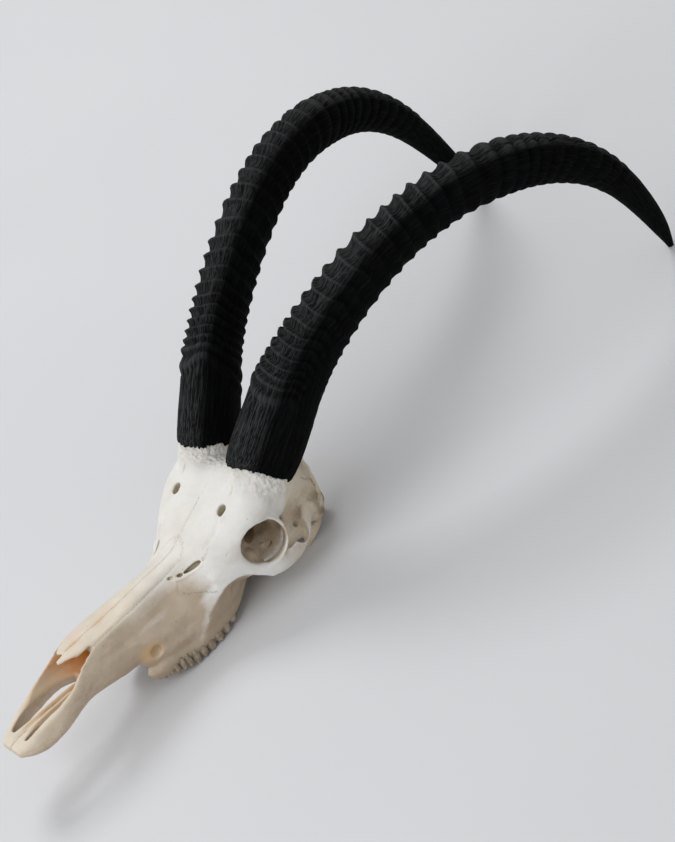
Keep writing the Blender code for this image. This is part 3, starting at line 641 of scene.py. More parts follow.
def horn_outline(turn, share, deep, wide):
    """Forward and sideways parts of a section, whose long axis is turned near the horn's foot."""
    twist = SECTION_TWIST * (1 - fade_in(share, 0.12, 0.38))
    longwise, crosswise = deep * np.cos(turn + twist), wide * np.sin(turn + twist)
    ahead = longwise * np.cos(twist) + crosswise * np.sin(twist)
    return ahead, crosswise * np.cos(twist) - longwise * np.sin(twist)


def slid_to_rim(points, fade):
    """Points slid along the horn's first direction, towards the slanting plane of its lower rim."""
    along = horn_course(np.array([0.0]))[3][0]
    facing = np.array(RIM_FACING) / np.linalg.norm(RIM_FACING)
    short = (RIM_RISE - (points - HORN_FOOT) @ facing) / (along @ facing)
    return points + (short * fade)[:, None] * along


# The rim's raggedness at large: lift along the horn at angles from its front, outer side positive
RIM_WAVE = (
    (-180, -4), (-150, -2), (-120, 3), (-90, 6), (-75, 3.4), (-60, 0.3), (-45, -2.5), (-30, -2.9),
    (-15, -2.8), (0, -2), (15, -0.5), (30, 2.2), (45, 3.4), (60, 3.5), (75, 1.5), (90, 0), (105, -1.7),
    (120, -2.6), (135, -2.4), (180, -4),
)
# A crease runs along the outer front of the middle rings: place along the horn, angle
CREASE = (
    (350, 29), (366, 29), (378, 30), (392, 24), (406, 23), (417, 18), (432, 32), (471, 32), (490, 30),
)
CREASE_DEPTH = 1.4

crests = RINGS_START + np.cumsum((0,) + RING_SPACINGS)
print("rings:", len(crests), "the last at", crests[-1], "mm of", HORN_LENGTH)

# %% [markdown]
# Each horn sits over a bony core, and the bone below its rim is a little narrower than the
# horn. A sleeve around the core, taken away from the skull, gives that step.

# %% Sleeve that frees the core
SLEEVE_INSIDE = -2.0
SLEEVE_OUTSIDE = 16.0


def horn_section(extra, sides=56):
    """The horn's outline at its rim, `extra` mm wider than the horn."""
    centre, front, sideways, _, deep, wide = horn_course(np.array([0.0]))
    turn = np.linspace(0, 2 * math.pi, sides, endpoint=False)
    ahead, aside = horn_outline(turn, 0.0, deep[0] + extra, wide[0] + extra)
    ring = np.outer(ahead, front[0]) + np.outer(aside, sideways[0])
    return slid_to_rim(centre[0] + ring, np.ones(sides))


def add_horn_sleeves(bm):
    along = horn_course(np.array([0.0]))[3][0]
    low, high = -0.5, 34.0
    inside, outside = horn_section(SLEEVE_INSIDE), horn_section(SLEEVE_OUTSIDE)
    for side in (1, -1):
        corners = ((inside, low), (outside, low), (outside, high), (inside, high))
        rings = [(section + along * rise) * (side, 1, 1) for section, rise in corners]
        skin_rings(bm, rings, closed=True)


print("sleeve:", len(horn_section(SLEEVE_OUTSIDE)), "points around")

# %% [markdown]
# Now the forms become one bone. The Remesh modifier melts overlapping forms into one skin and
# Smooth rounds the joints. A Boolean takes the hollows away, a second Remesh evens the mesh,
# and a second Smooth takes the sharp edge off every cut, as on real bone.

# %% One bone from all forms
BONE_GRAIN = 1.4  # mm
FINE_GRAIN = 0.9
BONE_TRIANGLES = 195000


def linked_object(name, bm_or_mesh):
    mesh = bm_or_mesh
    if isinstance(bm_or_mesh, bmesh.types.BMesh):
        mesh = bpy.data.meshes.new(name)
        bm_or_mesh.to_mesh(mesh)
        bm_or_mesh.free()
    made = bpy.data.objects.new(name, mesh)
    scene.collection.objects.link(made)
    return made


def add_remesh(piece, grain):
    remesh = piece.modifiers.new("one_skin", "REMESH")
    remesh.mode = "VOXEL"
    remesh.voxel_size = grain


def add_smooth(piece, repeats, factor=0.5):
    smooth = piece.modifiers.new("soften", "SMOOTH")
    smooth.factor = factor
    smooth.iterations = repeats


def add_boolean(piece, other, operation):
    cut = piece.modifiers.new("with_" + other.name, "BOOLEAN")
    cut.operation = operation
    cut.object = other
    cut.solver = "EXACT"


def applied(piece):
    """The piece's mesh with its modifiers applied; the piece itself is removed."""
    graph = bpy.context.evaluated_depsgraph_get()
    mesh = bpy.data.meshes.new_from_object(piece.evaluated_get(graph))
    bpy.data.objects.remove(piece)
    return mesh


skull = linked_object("skull_forms", bone_forms())
hollow = linked_object("skull_hollows", hollow_forms())
fine_hollow = linked_object("skull_fine_hollows", fine_hollow_forms())
socket = linked_object("socket_forms", socket_forms())
rods_bm = bmesh.new()
add_limb(rods_bm, INCISIVE_ROD)
rods = linked_object("incisive_rods", rods_bm)
sleeve_bm = bmesh.new()
add_horn_sleeves(sleeve_bm)
sleeves = linked_object("horn_sleeves", sleeve_bm)
add_remesh(hollow, BONE_GRAIN)
add_smooth(hollow, 3)
add_remesh(rods, BONE_GRAIN * 0.6)
add_remesh(socket, BONE_GRAIN * 0.7)
add_remesh(fine_hollow, 0.45)
add_remesh(skull, BONE_GRAIN)
add_smooth(skull, 7)
add_boolean(skull, hollow, "DIFFERENCE")
add_boolean(skull, sleeves, "DIFFERENCE")
add_boolean(skull, rods, "UNION")
add_remesh(skull, BONE_GRAIN * 0.75)
add_smooth(skull, 4)
carved = linked_object("carved_skull", applied(skull))
print("carved:", len(carved.data.vertices), "points")
add_boolean(carved, socket, "UNION")
add_boolean(carved, fine_hollow, "DIFFERENCE")
add_remesh(carved, FINE_GRAIN)
add_smooth(carved, 2)
bone_mesh = applied(carved)
for tool in (hollow, fine_hollow, socket, rods, sleeves):
    bpy.data.objects.remove(tool)
print("bone before its details:", len(bone_mesh.vertices), "points")

# %% [markdown]
# The wall above the teeth is one even surface on the real bone, but the forms it is made of leave
# shallow furrows between them. Smoothing the whole skull that much would melt its thin edges, so
# only the points of this wall are smoothed, and the rim of the nerve's hole in it is left alone.

# %% Even out the wall above the teeth
WALL_ROUNDS = 45
NERVE_HOLE = (34, 158, 21)


def tooth_wall(bm):
    """Points of the wall above the teeth, on both sides."""
    found = []
    for vert in bm.verts:
        x, y, z = vert.co
        hole = Vector((math.copysign(NERVE_HOLE[0], x), *NERVE_HOLE[1:]))
        beside = abs(x) > 24 and 156 < y < 250 and -7 < z - 0.12 * (y - 190) < 40
        if beside and (vert.co - hole).length > 12:
            found.append(vert)
    return found


bm = bmesh.new()
bm.from_mesh(bone_mesh)
wall = tooth_wall(bm)
all_ways = {"use_axis_x": True, "use_axis_y": True, "use_axis_z": True}
for _ in range(WALL_ROUNDS):
    bmesh.ops.smooth_vert(bm, verts=wall, factor=0.5, **all_ways)
bm.to_mesh(bone_mesh)
bm.free()
print("smoothed:", len(wall), "points")

# %% [markdown]
# Fine relief is sculpted into the dense mesh: grooves along the seams between bones, small pits
# and ridges. Each stroke is a course of points. Mesh points near the course move along their
# normals, most at its middle and less towards its edge, as a sculpting brush would move them.

# %% Sculpting strokes
def mesh_arrays(mesh):
    """Places and normals of a mesh's points."""
    places = np.empty(len(mesh.vertices) * 3)
    normals = np.empty(len(mesh.vertices) * 3)
    mesh.vertices.foreach_get("co", places)
    mesh.vertices.foreach_get("normal", normals)
    return places.reshape(-1, 3), normals.reshape(-1, 3)


def tree_of(places):
    tree = KDTree(len(places))
    for i, place in enumerate(places):
        tree.insert(place, i)
    tree.balance()
    return tree


def dense_course(rows, step=0.7):
    """A smooth course with a point every `step` mm."""
    curve = smooth_course(rows, 12)
    run = np.concatenate([[0], np.cumsum(np.linalg.norm(np.diff(curve, axis=0), axis=1))])
    return np.stack([np.interp(np.arange(0, run[-1], step), run, curve[:, i]) for i in range(3)], 1)


def within_reach(tree, points, reach):
    """Index and nearness (1 on the course, 0 at its reach) of every mesh point near a course."""
    nearest = {}
    for point in points:
        for _, index, distance in tree.find_range(point, reach):
            if distance < nearest.get(index, reach):
                nearest[index] = distance
    index = np.fromiter(nearest.keys(), int)
    near = 1 - np.fromiter(nearest.values(), float) / reach
    return index, near * near * (3 - 2 * near)


print("a course of 10 mm has", len(dense_course(((0, 0, 0), (0, 10, 0)))), "points")

# %% Courses of the seams, grooves and ridges
# Seams: name, on both sides, darkness, how far it wanders in mm, course on the left side or middle
SEAMS = (
    ("between_nasals", False, 0.5, 0.25, (
        (0, 86, 61), (0, 107.5, 62.6), (0, 133.7, 66.2), (0, 153.8, 69.9), (0, 187.8, 76.5),
        (0, 214.7, 80.3), (0, 236.6, 87), (0, 246, 94.9))),
    ("between_frontals", False, 0.45, 1.3, (
        (0, 246, 94.9), (0, 256.3, 101.6), (0, 266.8, 110.6), (0, 280.9, 118.5))),
    ("up_the_forehead", False, 0.12, 1.6, ((0, 280.9, 118.5), (0, 290, 123), (0, 299, 128))),
    ("nasal_edge", True, 0.42, 0.35, (
        (20.3, 97, 58.5), (19.3, 123.5, 63.1), (18.7, 138.2, 64.7), (17.9, 149.4, 66.2), (18, 158, 66.7),
        (17, 173, 69), (16.3, 187, 71.8), (15.8, 200, 73.5), (15.5, 210, 75.5), (15.5, 222.4, 79.3))),
    ("nasal_and_frontal", True, 0.32, 0.9, (
        (15.5, 222.4, 79.3), (15.5, 228.6, 80.5), (10.6, 239.6, 85.9), (0, 246, 94.9))),
    ("face_and_cheek", True, 0.6, 1.0, (
        (31.6, 208, 58.9), (37.6, 215.4, 56.8), (43, 223, 54.3), (48.6, 231.8, 51.6),
        (53.6, 238.4, 49))),
    ("below_the_slit", True, 0.35, 0.3, ((24.7, 213.6, 69.7), (27.5, 210.5, 65), (30.2, 207.1, 60.3))),
    ("above_the_slit", True, 0.4, 1.4, ((37.6, 241, 80.6), (39, 246, 86.4), (40.5, 251, 92))),
    ("brow_line", True, 0.6, 0.25, ((38.6, 297.7, 134.5), (39.2, 294, 130.5), (39.7, 289.7, 125.7))),
    ("crest", True, 0.9, 0.9, (
        (33.7, 376.1, 91.3), (37.9, 383.6, 84.2), (41.8, 383.9, 79.1), (44.2, 381.4, 70.3),
        (48, 377.4, 64.3))),
    ("tip_of_the_nose", False, 0.9, 0.35, ((0, -1, 5), (0, 8, 8.5), (0, 16, 10), (0, 24, 11))),
)
# Soft grooves and ridges: reach, height, course on the left side
RELIEF = (
    (5.5, -1.0, ((37, 278, 111), (40.8, 266.6, 107.4), (40.9, 258.8, 100.5), (36.7, 248, 90.3))),
    (4.0, -0.45, (
        (20.3, 97, 58.5), (19.3, 123.5, 63.1), (17.9, 149.4, 66.2), (17, 173, 69), (15.8, 200, 73.5),
        (15.5, 222, 79))),
    (7.0, -0.8, (
        (25.5, 111.2, 43.5), (25.9, 128.3, 43.7), (27.3, 143.2, 46), (28.8, 162.9, 51.2),
        (29.1, 182.5, 53.6))),
    (3.2, -0.6, ((66.3, 308.2, 125.4), (68.8, 316.9, 126.5), (70.6, 326, 127.2))),
    (2.4, 0.7, (
        (24.5, 212, 69.5), (28.7, 219.3, 69.8), (31.3, 225.6, 71.3), (34.4, 231.6, 73.3),
        (37.2, 237, 76.3))),
    (3.0, 0.7, ((45.5, 283.5, 116.5), (44, 277, 112), (41.5, 272.5, 108.5))),
)
SEAM_GROOVE_REACH = 1.8
SEAM_GROOVE_DEPTH = 0.35
print("seams:", len(SEAMS), "and grooves or ridges:", len(RELIEF))

# %% Strokes along those courses
def on_both_sides(rows, both=True):
    return (rows, tuple((-x, y, z) for x, y, z in rows)) if both else (rows,)


def on_surface(tree, places, course):
    """A course laid on the nearest mesh points and evened out again."""
    laid = np.array([places[tree.find(point)[1]] for point in course])
    for _ in range(3):
        laid[1:-1] = (laid[:-2] + 2 * laid[1:-1] + laid[2:]) / 4
    return laid


def seam_courses(tree, places):
    """Every seam's course on the bone, with its darkness and its wander."""
    for _, both, dark, wander, rows in SEAMS:
        for course in on_both_sides(rows, both):
            yield on_surface(tree, places, dense_course(course)), dark, wander


places, normals = mesh_arrays(bone_mesh)
bone_tree = tree_of(places)
push = np.zeros(len(places))
for reach, height, rows in RELIEF:
    for course in on_both_sides(rows):
        laid = on_surface(bone_tree, places, dense_course(course))
        index, near = within_reach(bone_tree, laid, reach)
        push[index] += height * near
for course, dark, _ in seam_courses(bone_tree, places):
    index, near = within_reach(bone_tree, course, SEAM_GROOVE_REACH)
    push[index] -= SEAM_GROOVE_DEPTH * dark * near
print("deepest stroke, mm:", round(-push.min(), 2))

# %% [markdown]
# No bone is quite smooth. Noise of a few sizes lifts and lowers the surface by fractions of a
# millimetre. It is strongest in the collar of bone below each horn, where upright ribs and
# lumps are added, and on the crest at the back of the head, where muscles were held.


# %% Rough bone
def fractal(point, size, seed, octaves=3):
    """Fractal noise of -1..1 with blotches `size` mm across."""
    return noise.fractal(Vector(point) / size + Vector((seed, seed * 0.7, 0)), 0.9, 2.1, octaves)


def below_horns(places):
    """How far each point lies from the plane of its horn's rim, mm, and whether it is near one."""
    folded = places * np.where(places[:, :1] < 0, (-1, 1, 1), (1, 1, 1))
    facing = np.array(RIM_FACING) / np.linalg.norm(RIM_FACING)
    drop = RIM_RISE - (folded - HORN_FOOT) @ facing
    aside = np.linalg.norm(folded - HORN_FOOT + drop[:, None] * facing, axis=1)
    return drop, 1 - fade_in(aside, 46, 70)


drop, beside = below_horns(places)
collar = beside * (1 - fade_in(drop, 6, 30)) * fade_in(drop, -12, -2)
crest_area = fade_in(places[:, 1], 372, 388) * fade_in(places[:, 2], 58, 70)
for i, (x, y, z) in enumerate(places):
    lift = 0.36 * fractal((x, y, z), 18, 3) + 0.06 * fractal((x, y, z), 4.5, 9, 2)
    if collar[i] > 0.02:
        ribs = fractal((x, y, (z + 0.5 * y) * 0.4), 3.0, 14)
        lift += collar[i] * (0.85 * ribs + 0.8 * fractal((x, y, z), 3.2, 21, 3))
    if crest_area[i] > 0.02:
        lift += crest_area[i] * 0.6 * fractal((x * 0.6, y, z), 3.5, 31)
    push[i] += lift
places += normals * push[:, None]
bone_mesh.vertices.foreach_set("co", places.ravel())
bone_mesh.update()
print("rough bone: from", round(push.min(), 2), "to", round(push.max(), 2), "mm")

# %% Thin the bone's mesh to a sensible size
bone_mesh.calc_loop_triangles()
thinned = linked_object("thinned_bone", bone_mesh)
thin = thinned.modifiers.new("thin", "DECIMATE")
thin.ratio = min(1.0, BONE_TRIANGLES / len(bone_mesh.loop_triangles))
bone_mesh = applied(thinned)
print("bone:", len(bone_mesh.polygons), "faces")

# %% [markdown]
# Bleached bone isn't one white: it is orange inside the nose, brown at the back of the head, and dark in
# its seams. Its colours also carry painted shade: bone turned down or aside, away from the light, the
# recess under the cheek's crest, the eye sockets and the hollows where other bone lies close are painted
# tan to dark brown, while the forehead and a band along the cheek's crest are kept white, as lit bone. The
# shader can't know these places, so they are measured here and stored on the mesh as attributes for it to
# read.

# %% How sheltered a point is
SHELTER_RAYS = 14
SHELTER_REACH = 45.0


def store_mask(mesh, name, values):
    mesh.attributes.new(name, "FLOAT", "POINT").data.foreach_set("value", np.asarray(values, np.float32))


def sheltered(mesh, places, normals):
    """Share of the directions in which other bone lies close by, for every point."""
    polygons = [tuple(polygon.vertices) for polygon in mesh.polygons]
    hull = BVHTree.FromPolygons([Vector(p) for p in places], polygons)
    golden = math.pi * (3 - math.sqrt(5))
    fan = []
    for i in range(SHELTER_RAYS):
        rise = 0.15 + 0.85 * (i + 0.5) / SHELTER_RAYS
        wide = math.sqrt(1 - rise * rise)
        fan.append((wide * math.cos(i * golden), wide * math.sin(i * golden), rise))
    result = np.zeros(len(places))
    for i, (place, normal) in enumerate(zip(places, normals)):
        up = Vector(normal)
        turn = up.to_track_quat("Z", "Y")
        start = Vector(place) + up * 0.6
        blocked = 0.0
        for ray in fan:
            distance = hull.ray_cast(start, turn @ Vector(ray), SHELTER_REACH)[3]
            if distance is not None:
                blocked += 1 - distance / SHELTER_REACH
        result[i] = blocked / SHELTER_RAYS
    return result


def closeness(places, centre, radii):
    """1 at the centre of an ellipsoid, 0 outside it."""
    away = np.linalg.norm((places - np.array(centre)) / np.array(radii), axis=1)
    near = np.clip(1 - away, 0, 1)
    return near * near * (3 - 2 * near)


halfway = closeness(np.array([(1.0, 0, 0)]), (0, 0, 0), (2, 2, 2))
print("closeness halfway out of a form:", halfway.round(2))

# %% Where the seams run on the bone
SEAM_REACH = 5.0  # mm on each side that the material can draw in


def seam_fields(tree, places, normals):
    """For each point near a seam: signed distance across it, place along it, nearness, looks."""
    count = len(places)
    nearest = np.full(count, SEAM_REACH)
    across, along, dark, wander = (np.zeros(count) for _ in range(4))
    start = 0.0
    for course, seam_dark, seam_wander in seam_courses(tree, places):
        heading = np.gradient(course, axis=0)
        heading /= np.linalg.norm(heading, axis=1)[:, None]
        run = np.concatenate([[0], np.cumsum(np.linalg.norm(np.diff(course, axis=0), axis=1))])
        ends = fade_in(run, 0, 3) * (1 - fade_in(run, run[-1] - 3, run[-1]))
        for point, ahead, place, fade in zip(course, heading, run, ends):
            for _, index, distance in tree.find_range(point, SEAM_REACH):
                if distance < nearest[index]:
                    nearest[index] = distance
                    offset = places[index] - point
                    across[index] = offset @ np.cross(ahead, normals[index])
                    along[index] = start + place + offset @ ahead
                    dark[index] = seam_dark * fade
                    wander[index] = seam_wander
        start += run[-1] + 20.0
    near = 1 - nearest / SEAM_REACH
    return across, along, near, dark, wander


places, normals = mesh_arrays(bone_mesh)
bone_tree = tree_of(places)
fields = seam_fields(bone_tree, places, normals)
for name, values in zip(("across", "along", "near", "dark", "wander"), fields):
    store_mask(bone_mesh, "seam_" + name, values)
    print("seam", name, "from", round(float(values.min()), 2), "to", round(float(values.max()), 2))

# %% Masks on the bone
CREST_LINE = (  # y and z of the cheek's crest
    (205, 0), (210, 5), (220, 19), (224.6, 29.7), (230, 37), (237, 45), (244, 51), (253, 54.4),
    (262.5, 53.3), (269, 49.7), (277, 44), (290, 36), (310, 34), (330, 38), (345, 45), (400, 60),
)


def inside_nose(places):
    """1 on the walls of the nasal passage, 0 on the outside of the face."""
    course = smooth_course(NASAL_HOLLOW, 4)
    height, wide, deep = (np.interp(places[:, 1], course[:, 1], course[:, i]) for i in (2, 3, 4))
    reach = np.hypot(places[:, 0] / wide, (places[:, 2] - height) / deep)
    return (1 - fade_in(reach, 1.0, 1.13)) * band(places[:, 1], 12, 30, 188, 204)


def inside_socket(folded):
    """1 on the walls of the eye sockets; they widen behind the rim, except at the top."""
    facing = np.array(ORBIT_FACING) / np.linalg.norm(ORBIT_FACING)
    inwards = (np.array(ORBIT_CENTRE) - folded) @ facing
    off_axis = np.linalg.norm(folded - ORBIT_CENTRE + inwards[:, None] * facing, axis=1)
    widened = 0.55 * np.clip(inwards - 3, 0, 12) * (1 - fade_in(folded[:, 2], 82, 92))
    return fade_in(inwards, 2.0, 6.0) * (1 - fade_in(off_axis - widened, 26.8, 28.6))


def turned_down(folded, normals, below_crest, crest_height):
    """How far the bone is turned away from the light, as a mask of painted shade; the upper face and the
    cheek's crest are spared, as lit bone.
    """
    x, y, z = folded.T
    upper_face = fade_in(y, 196, 250) * (1 - below_crest)
    upper_face *= 1 - fade_in(y, 288, 334) * (1 - fade_in(z, 76, 92))
    crest_band = band(z - crest_height, -1, 3, 8, 26) * fade_in(y, 190, 214)
    away = 1 - fade_in(normals @ (0.0, -0.15, 0.99), -0.35, 0.85)
    turned = away * (1 - 0.85 * upper_face) * (1 - 0.7 * crest_band)
    # painted shade below the ledge of the slit
    turned += 0.34 * closeness(folded, (35, 207, 56), (26, 40, 26))
    return turned + 0.15 * band(y, 105, 135, 196, 236) * fade_in(x, 17, 25)


drop, beside = below_horns(places)
folded = np.abs(places[:, :1]) * (1, 0, 0) + places * (0, 1, 1)
x, y, z = folded.T
crest_height = np.interp(y, *zip(*CREST_LINE))
below_crest = fade_in(crest_height - z, -1.5, 4.0)
around_brow_hole = closeness(folded, (37.3, 281, 113), (13, 15, 15))
around_slit = closeness(folded, (30, 230, 75), (11, 13, 11))
# shelter, turned, recess and socket mark where the bone is painted with shade
masks = {
    "shelter": sheltered(bone_mesh, places, normals),
    "turned": turned_down(folded, normals, below_crest, crest_height),
    "recess": below_crest * band(y, 206, 224, 284, 300) * fade_in(x, 30, 40),
    "nose": inside_nose(places),
    "muzzle": 1 - fade_in(y - 0.9 * (z - 60), 95, 265),
    "socket": inside_socket(folded),
    "temple": fade_in(y, 327, 342) * (1 - fade_in(x, 58, 66)),
    "brow_hole": np.maximum(around_brow_hole, around_slit),
    "deep_nose": fade_in(y + 0.6 * z, 80, 128),
    "socket_top": fade_in(z + 0.5 * (y - 292), 62, 84),
    "cheek_stain": closeness(folded, (33, 157, 23), (18, 24, 18)),
    "back_of_head": closeness(places, (0, 398, 52), (112, 62, 36)),
    "near_horn": beside * (1 - fade_in(drop, 4, 34)),
}
for name, values in masks.items():
    store_mask(bone_mesh, name, values)
    print(name, "from", round(float(values.min()), 2), "to", round(float(values.max()), 2))

# %% [markdown]
# The bone material mixes a clean white, a warm tan and a brown by those masks, broken up by noise of
# several sizes; on bone turned away from the light, in the recess under the cheek's crest, in hollows and
# inside the eye sockets, the tan and brown are painted shade. Small pores and a fine grain are bump, since
# they are too small for the mesh. A little light goes into bone and comes out warmer, which is subsurface
# scattering.

# %% Base colours of the bone
def broken_up(tree, place, pattern, low, high, least, most):
    """A mask that a noise breaks up: between `least` and `most` of it stays."""
    return times(tree, place, spread(tree, pattern, low, high, least, most))


bone_paint, tree, shader = new_material(
    "bleached_bone", Roughness=0.5, Subsurface_Weight=0.16, Subsurface_Scale=0.0035, Specular_IOR_Level=0.4)
shader.inputs["Subsurface Radius"].default_value = (1.0, 0.5, 0.28)
mask = {name: attribute(tree, name).outputs["Fac"] for name in masks}
blotches = object_noise(tree, 0.024)
clouds = object_noise(tree, 0.007, 5.0)
uneven = spread(tree, blotches, 0.34, 0.68)
white = mix_colour(tree, uneven, (0.865, 0.86, 0.84, 1), (0.80, 0.785, 0.75, 1))
ivory = mix_colour(tree, uneven, (0.79, 0.73, 0.63, 1), (0.70, 0.63, 0.53, 1))
# tan used as painted shade on bone turned away from the light
side_shade_tan = mix_colour(tree, uneven, (0.61, 0.505, 0.39, 1), (0.52, 0.415, 0.305, 1))
# painted shade inside the eye sockets, darkest under their upper rim
socket_shade = mix_colour(tree, mask["socket_top"], (0.47, 0.365, 0.245, 1), (0.22, 0.155, 0.08, 1))
in_nose = mix_colour(tree, mask["deep_nose"], (0.74, 0.60, 0.43, 1), (0.70, 0.29, 0.05, 1))
turned_clouds = sum_of(tree, mask["turned"], times(tree, sum_of(tree, clouds, -0.5), 0.22))
sheltered_clouds = sum_of(tree, mask["shelter"], times(tree, clouds, 0.3))
peach_muzzle = spread(tree, mask["muzzle"], 0.55, 1.0)
around_holes = spread(tree, mask["brow_hole"], 0.1, 0.5)
behind_head = spread(tree, mask["back_of_head"], 0.08, 0.42)
print("bone masks and base colours:", len(tree.nodes), "nodes")

# %% Coats of colour, each laid over the ones before it
COATS = (
    # the next two coats are painted shade on bone turned down or aside, away from the light
    (spread(tree, turned_clouds, 0.03, 0.44, 0.0, 1.0), side_shade_tan),
    (spread(tree, turned_clouds, 0.68, 1.0, 0.0, 0.85), (0.40, 0.30, 0.21, 1)),
    (broken_up(tree, mask["near_horn"], clouds, 0.46, 0.7, 0.0, 0.25), (0.60, 0.52, 0.40, 1)),
    (broken_up(tree, mask["temple"], clouds, 0.3, 0.6, 0.45, 0.85), (0.80, 0.70, 0.54, 1)),
    (broken_up(tree, peach_muzzle, clouds, 0.35, 0.6, 0.15, 0.5), (0.80, 0.66, 0.50, 1)),
    # painted shade in the recess under the cheek's crest
    (broken_up(tree, mask["recess"], clouds, 0.3, 0.65, 0.55, 0.9), (0.44, 0.345, 0.25, 1)),
    # painted shade where other bone lies close, in hollows and corners
    (spread(tree, sheltered_clouds, 0.34, 0.82), (0.37, 0.285, 0.19, 1)),
    # painted shade inside the eye sockets
    (broken_up(tree, mask["socket"], clouds, 0.3, 0.65, 0.7, 0.95), socket_shade),
    (broken_up(tree, mask["nose"], clouds, 0.3, 0.65, 0.8, 1.0), in_nose),
    (spread(tree, mask["cheek_stain"], 0.1, 0.85, 0.0, 0.75), (0.64, 0.42, 0.21, 1)),
    # painted shade in the sheltered parts around the brow hole and the slit
    (broken_up(tree, around_holes, mask["shelter"], 0.15, 0.35, 0.0, 0.9), (0.56, 0.51, 0.40, 1)),
    (broken_up(tree, behind_head, clouds, 0.38, 0.6, 0.3, 1.0), (0.27, 0.195, 0.11, 1)),
)
colour = mix_colour(tree, spread(tree, mask["muzzle"], 0.0, 0.75), white, ivory)
for amount, coat in COATS:
    colour = mix_colour(tree, amount, colour, coat)
print("coats of colour on the bone:", len(COATS))

# %% Seams, pores and grain of the bone
# a seam: a fine dark line that wanders about its course and breaks up along it
run = attribute(tree, "seam_along").outputs["Fac"]
shake = sum_of(tree, noise_along(tree, run, 3.4, 3.0), -0.5)
shake = times(tree, times(tree, shake, 5.0), attribute(tree, "seam_wander").outputs["Fac"])
across = sum_of(tree, attribute(tree, "seam_across").outputs["Fac"], shake)
distance = add_node(tree, "ShaderNodeMath", {0: across}, operation="ABSOLUTE").outputs[0]
close = spread(tree, attribute(tree, "seam_near").outputs["Fac"], 0.3, 0.45)
seam_dark = times(tree, attribute(tree, "seam_dark").outputs["Fac"], close)
broken = spread(tree, noise_along(tree, run, 2.2), 0.40, 0.6, 0.25, 1.0)
line = times(tree, times(tree, spread(tree, distance, 0.15, 0.75, 1.0, 0.0), seam_dark), broken)
colour = mix_colour(tree, times(tree, line, 0.85), colour, (0.17, 0.13, 0.09, 1))
halo = times(tree, spread(tree, distance, 0.4, 2.4, 0.22, 0.0), seam_dark)
colour = mix_colour(tree, halo, colour, (0.50, 0.41, 0.30, 1))

# scattered pores, each a small dark dot
coordinates = add_node(tree, "ShaderNodeTexCoord").outputs["Object"]
dots = add_node(tree, "ShaderNodeTexVoronoi", {"Vector": coordinates, "Scale": 210.0, "Randomness": 1.0})
chance = add_node(tree, "ShaderNodeSeparateColor", {0: dots.outputs["Color"]}).outputs[0]
rare = spread(tree, chance, 0.80, 0.84)
pore = times(tree, spread(tree, dots.outputs["Distance"], 0.06, 0.16, 1.0, 0.0), rare)
pore = times(tree, pore, spread(tree, object_noise(tree, 0.03, 2.0), 0.46, 0.6))
colour = mix_colour(tree, times(tree, pore, 0.6), colour, (0.24, 0.18, 0.12, 1))
tree.links.new(colour, shader.inputs["Base Color"])
tree.links.new(spread(tree, clouds, 0.3, 0.7, 0.46, 0.6), shader.inputs["Roughness"])

# the bump: grain everywhere, pits near the horns and in patches
grain = object_noise(tree, 0.0016, 3.0)
streaks = object_noise(tree, 0.0022, 4.0, 0.6, (1.0, 0.1, 0.4))
pits = add_node(tree, "ShaderNodeTexVoronoi", {"Vector": coordinates, "Scale": 560.0}).outputs["Distance"]
rough_patches = spread(tree, object_noise(tree, 0.014), 0.52, 0.7, 0.0, 0.5)
rough_place = sum_of(tree, times(tree, mask["near_horn"], 1.8), rough_patches)
pit_depth = times(tree, spread(tree, pits, 0.0, 0.4, 1.0, 0.0), rough_place)
height = sum_of(tree, times(tree, grain, 0.5), times(tree, streaks, 0.45))
height = sum_of(tree, height, times(tree, pit_depth, -0.9))
height = sum_of(tree, height, times(tree, sum_of(tree, line, pore), -1.3))
bump = add_node(tree, "ShaderNodeBump", {"Height": height, "Distance": 0.00045, "Strength": 0.55})
tree.links.new(bump.outputs[0], shader.inputs["Normal"])
print("bone material:", len(tree.nodes), "nodes")

# %% The finished skull piece
BOX_MARGIN = 0.00003  # metres


def settle(mesh):
    """Tips a mesh into the part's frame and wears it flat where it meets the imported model's box."""
    mesh.transform(SETTLE)
    points = np.empty(len(mesh.vertices) * 3)
    mesh.vertices.foreach_get("co", points)
    points = points.reshape(-1, 3)
    points = np.clip(points, np.array(cad_box[0]) + BOX_MARGIN, np.array(cad_box[1]) - BOX_MARGIN)
    mesh.vertices.foreach_set("co", points.ravel())
    mesh.update()


settle(bone_mesh)
bone_mesh.shade_smooth()
bone_mesh.materials.clear()
bone_mesh.materials.append(bone_paint)
skull_piece = linked_object("skull_bone", bone_mesh)
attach(skull_piece, "root")
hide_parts("skull")
print(skull_piece.name, len(bone_mesh.polygons), "faces")

# %% [markdown]
# The rings of such a horn change along it. From the first ones to the middle they stand out as
# sharp cusps with a hollow above each, and the upper ones are round swellings. So the height
# between two crests is read from two profiles, and a mask along the horn mixes them.

# %% Height of the rings
CUSP = (
    (0, 1.0), (0.09, 0.76), (0.17, 0.36), (0.3, 0.03), (0.4, 0.0), (0.52, 0.09), (0.75, 0.35),
    (0.94, 0.8), (1, 1.0),
)
ROUND = (
    (0, 1.0), (0.15, 0.93), (0.3, 0.7), (0.42, 0.3), (0.5, 0.0), (0.58, 0.3), (0.7, 0.7),
    (0.85, 0.93), (1, 1.0),
)


SMOOTH_STRIP = math.radians(135)


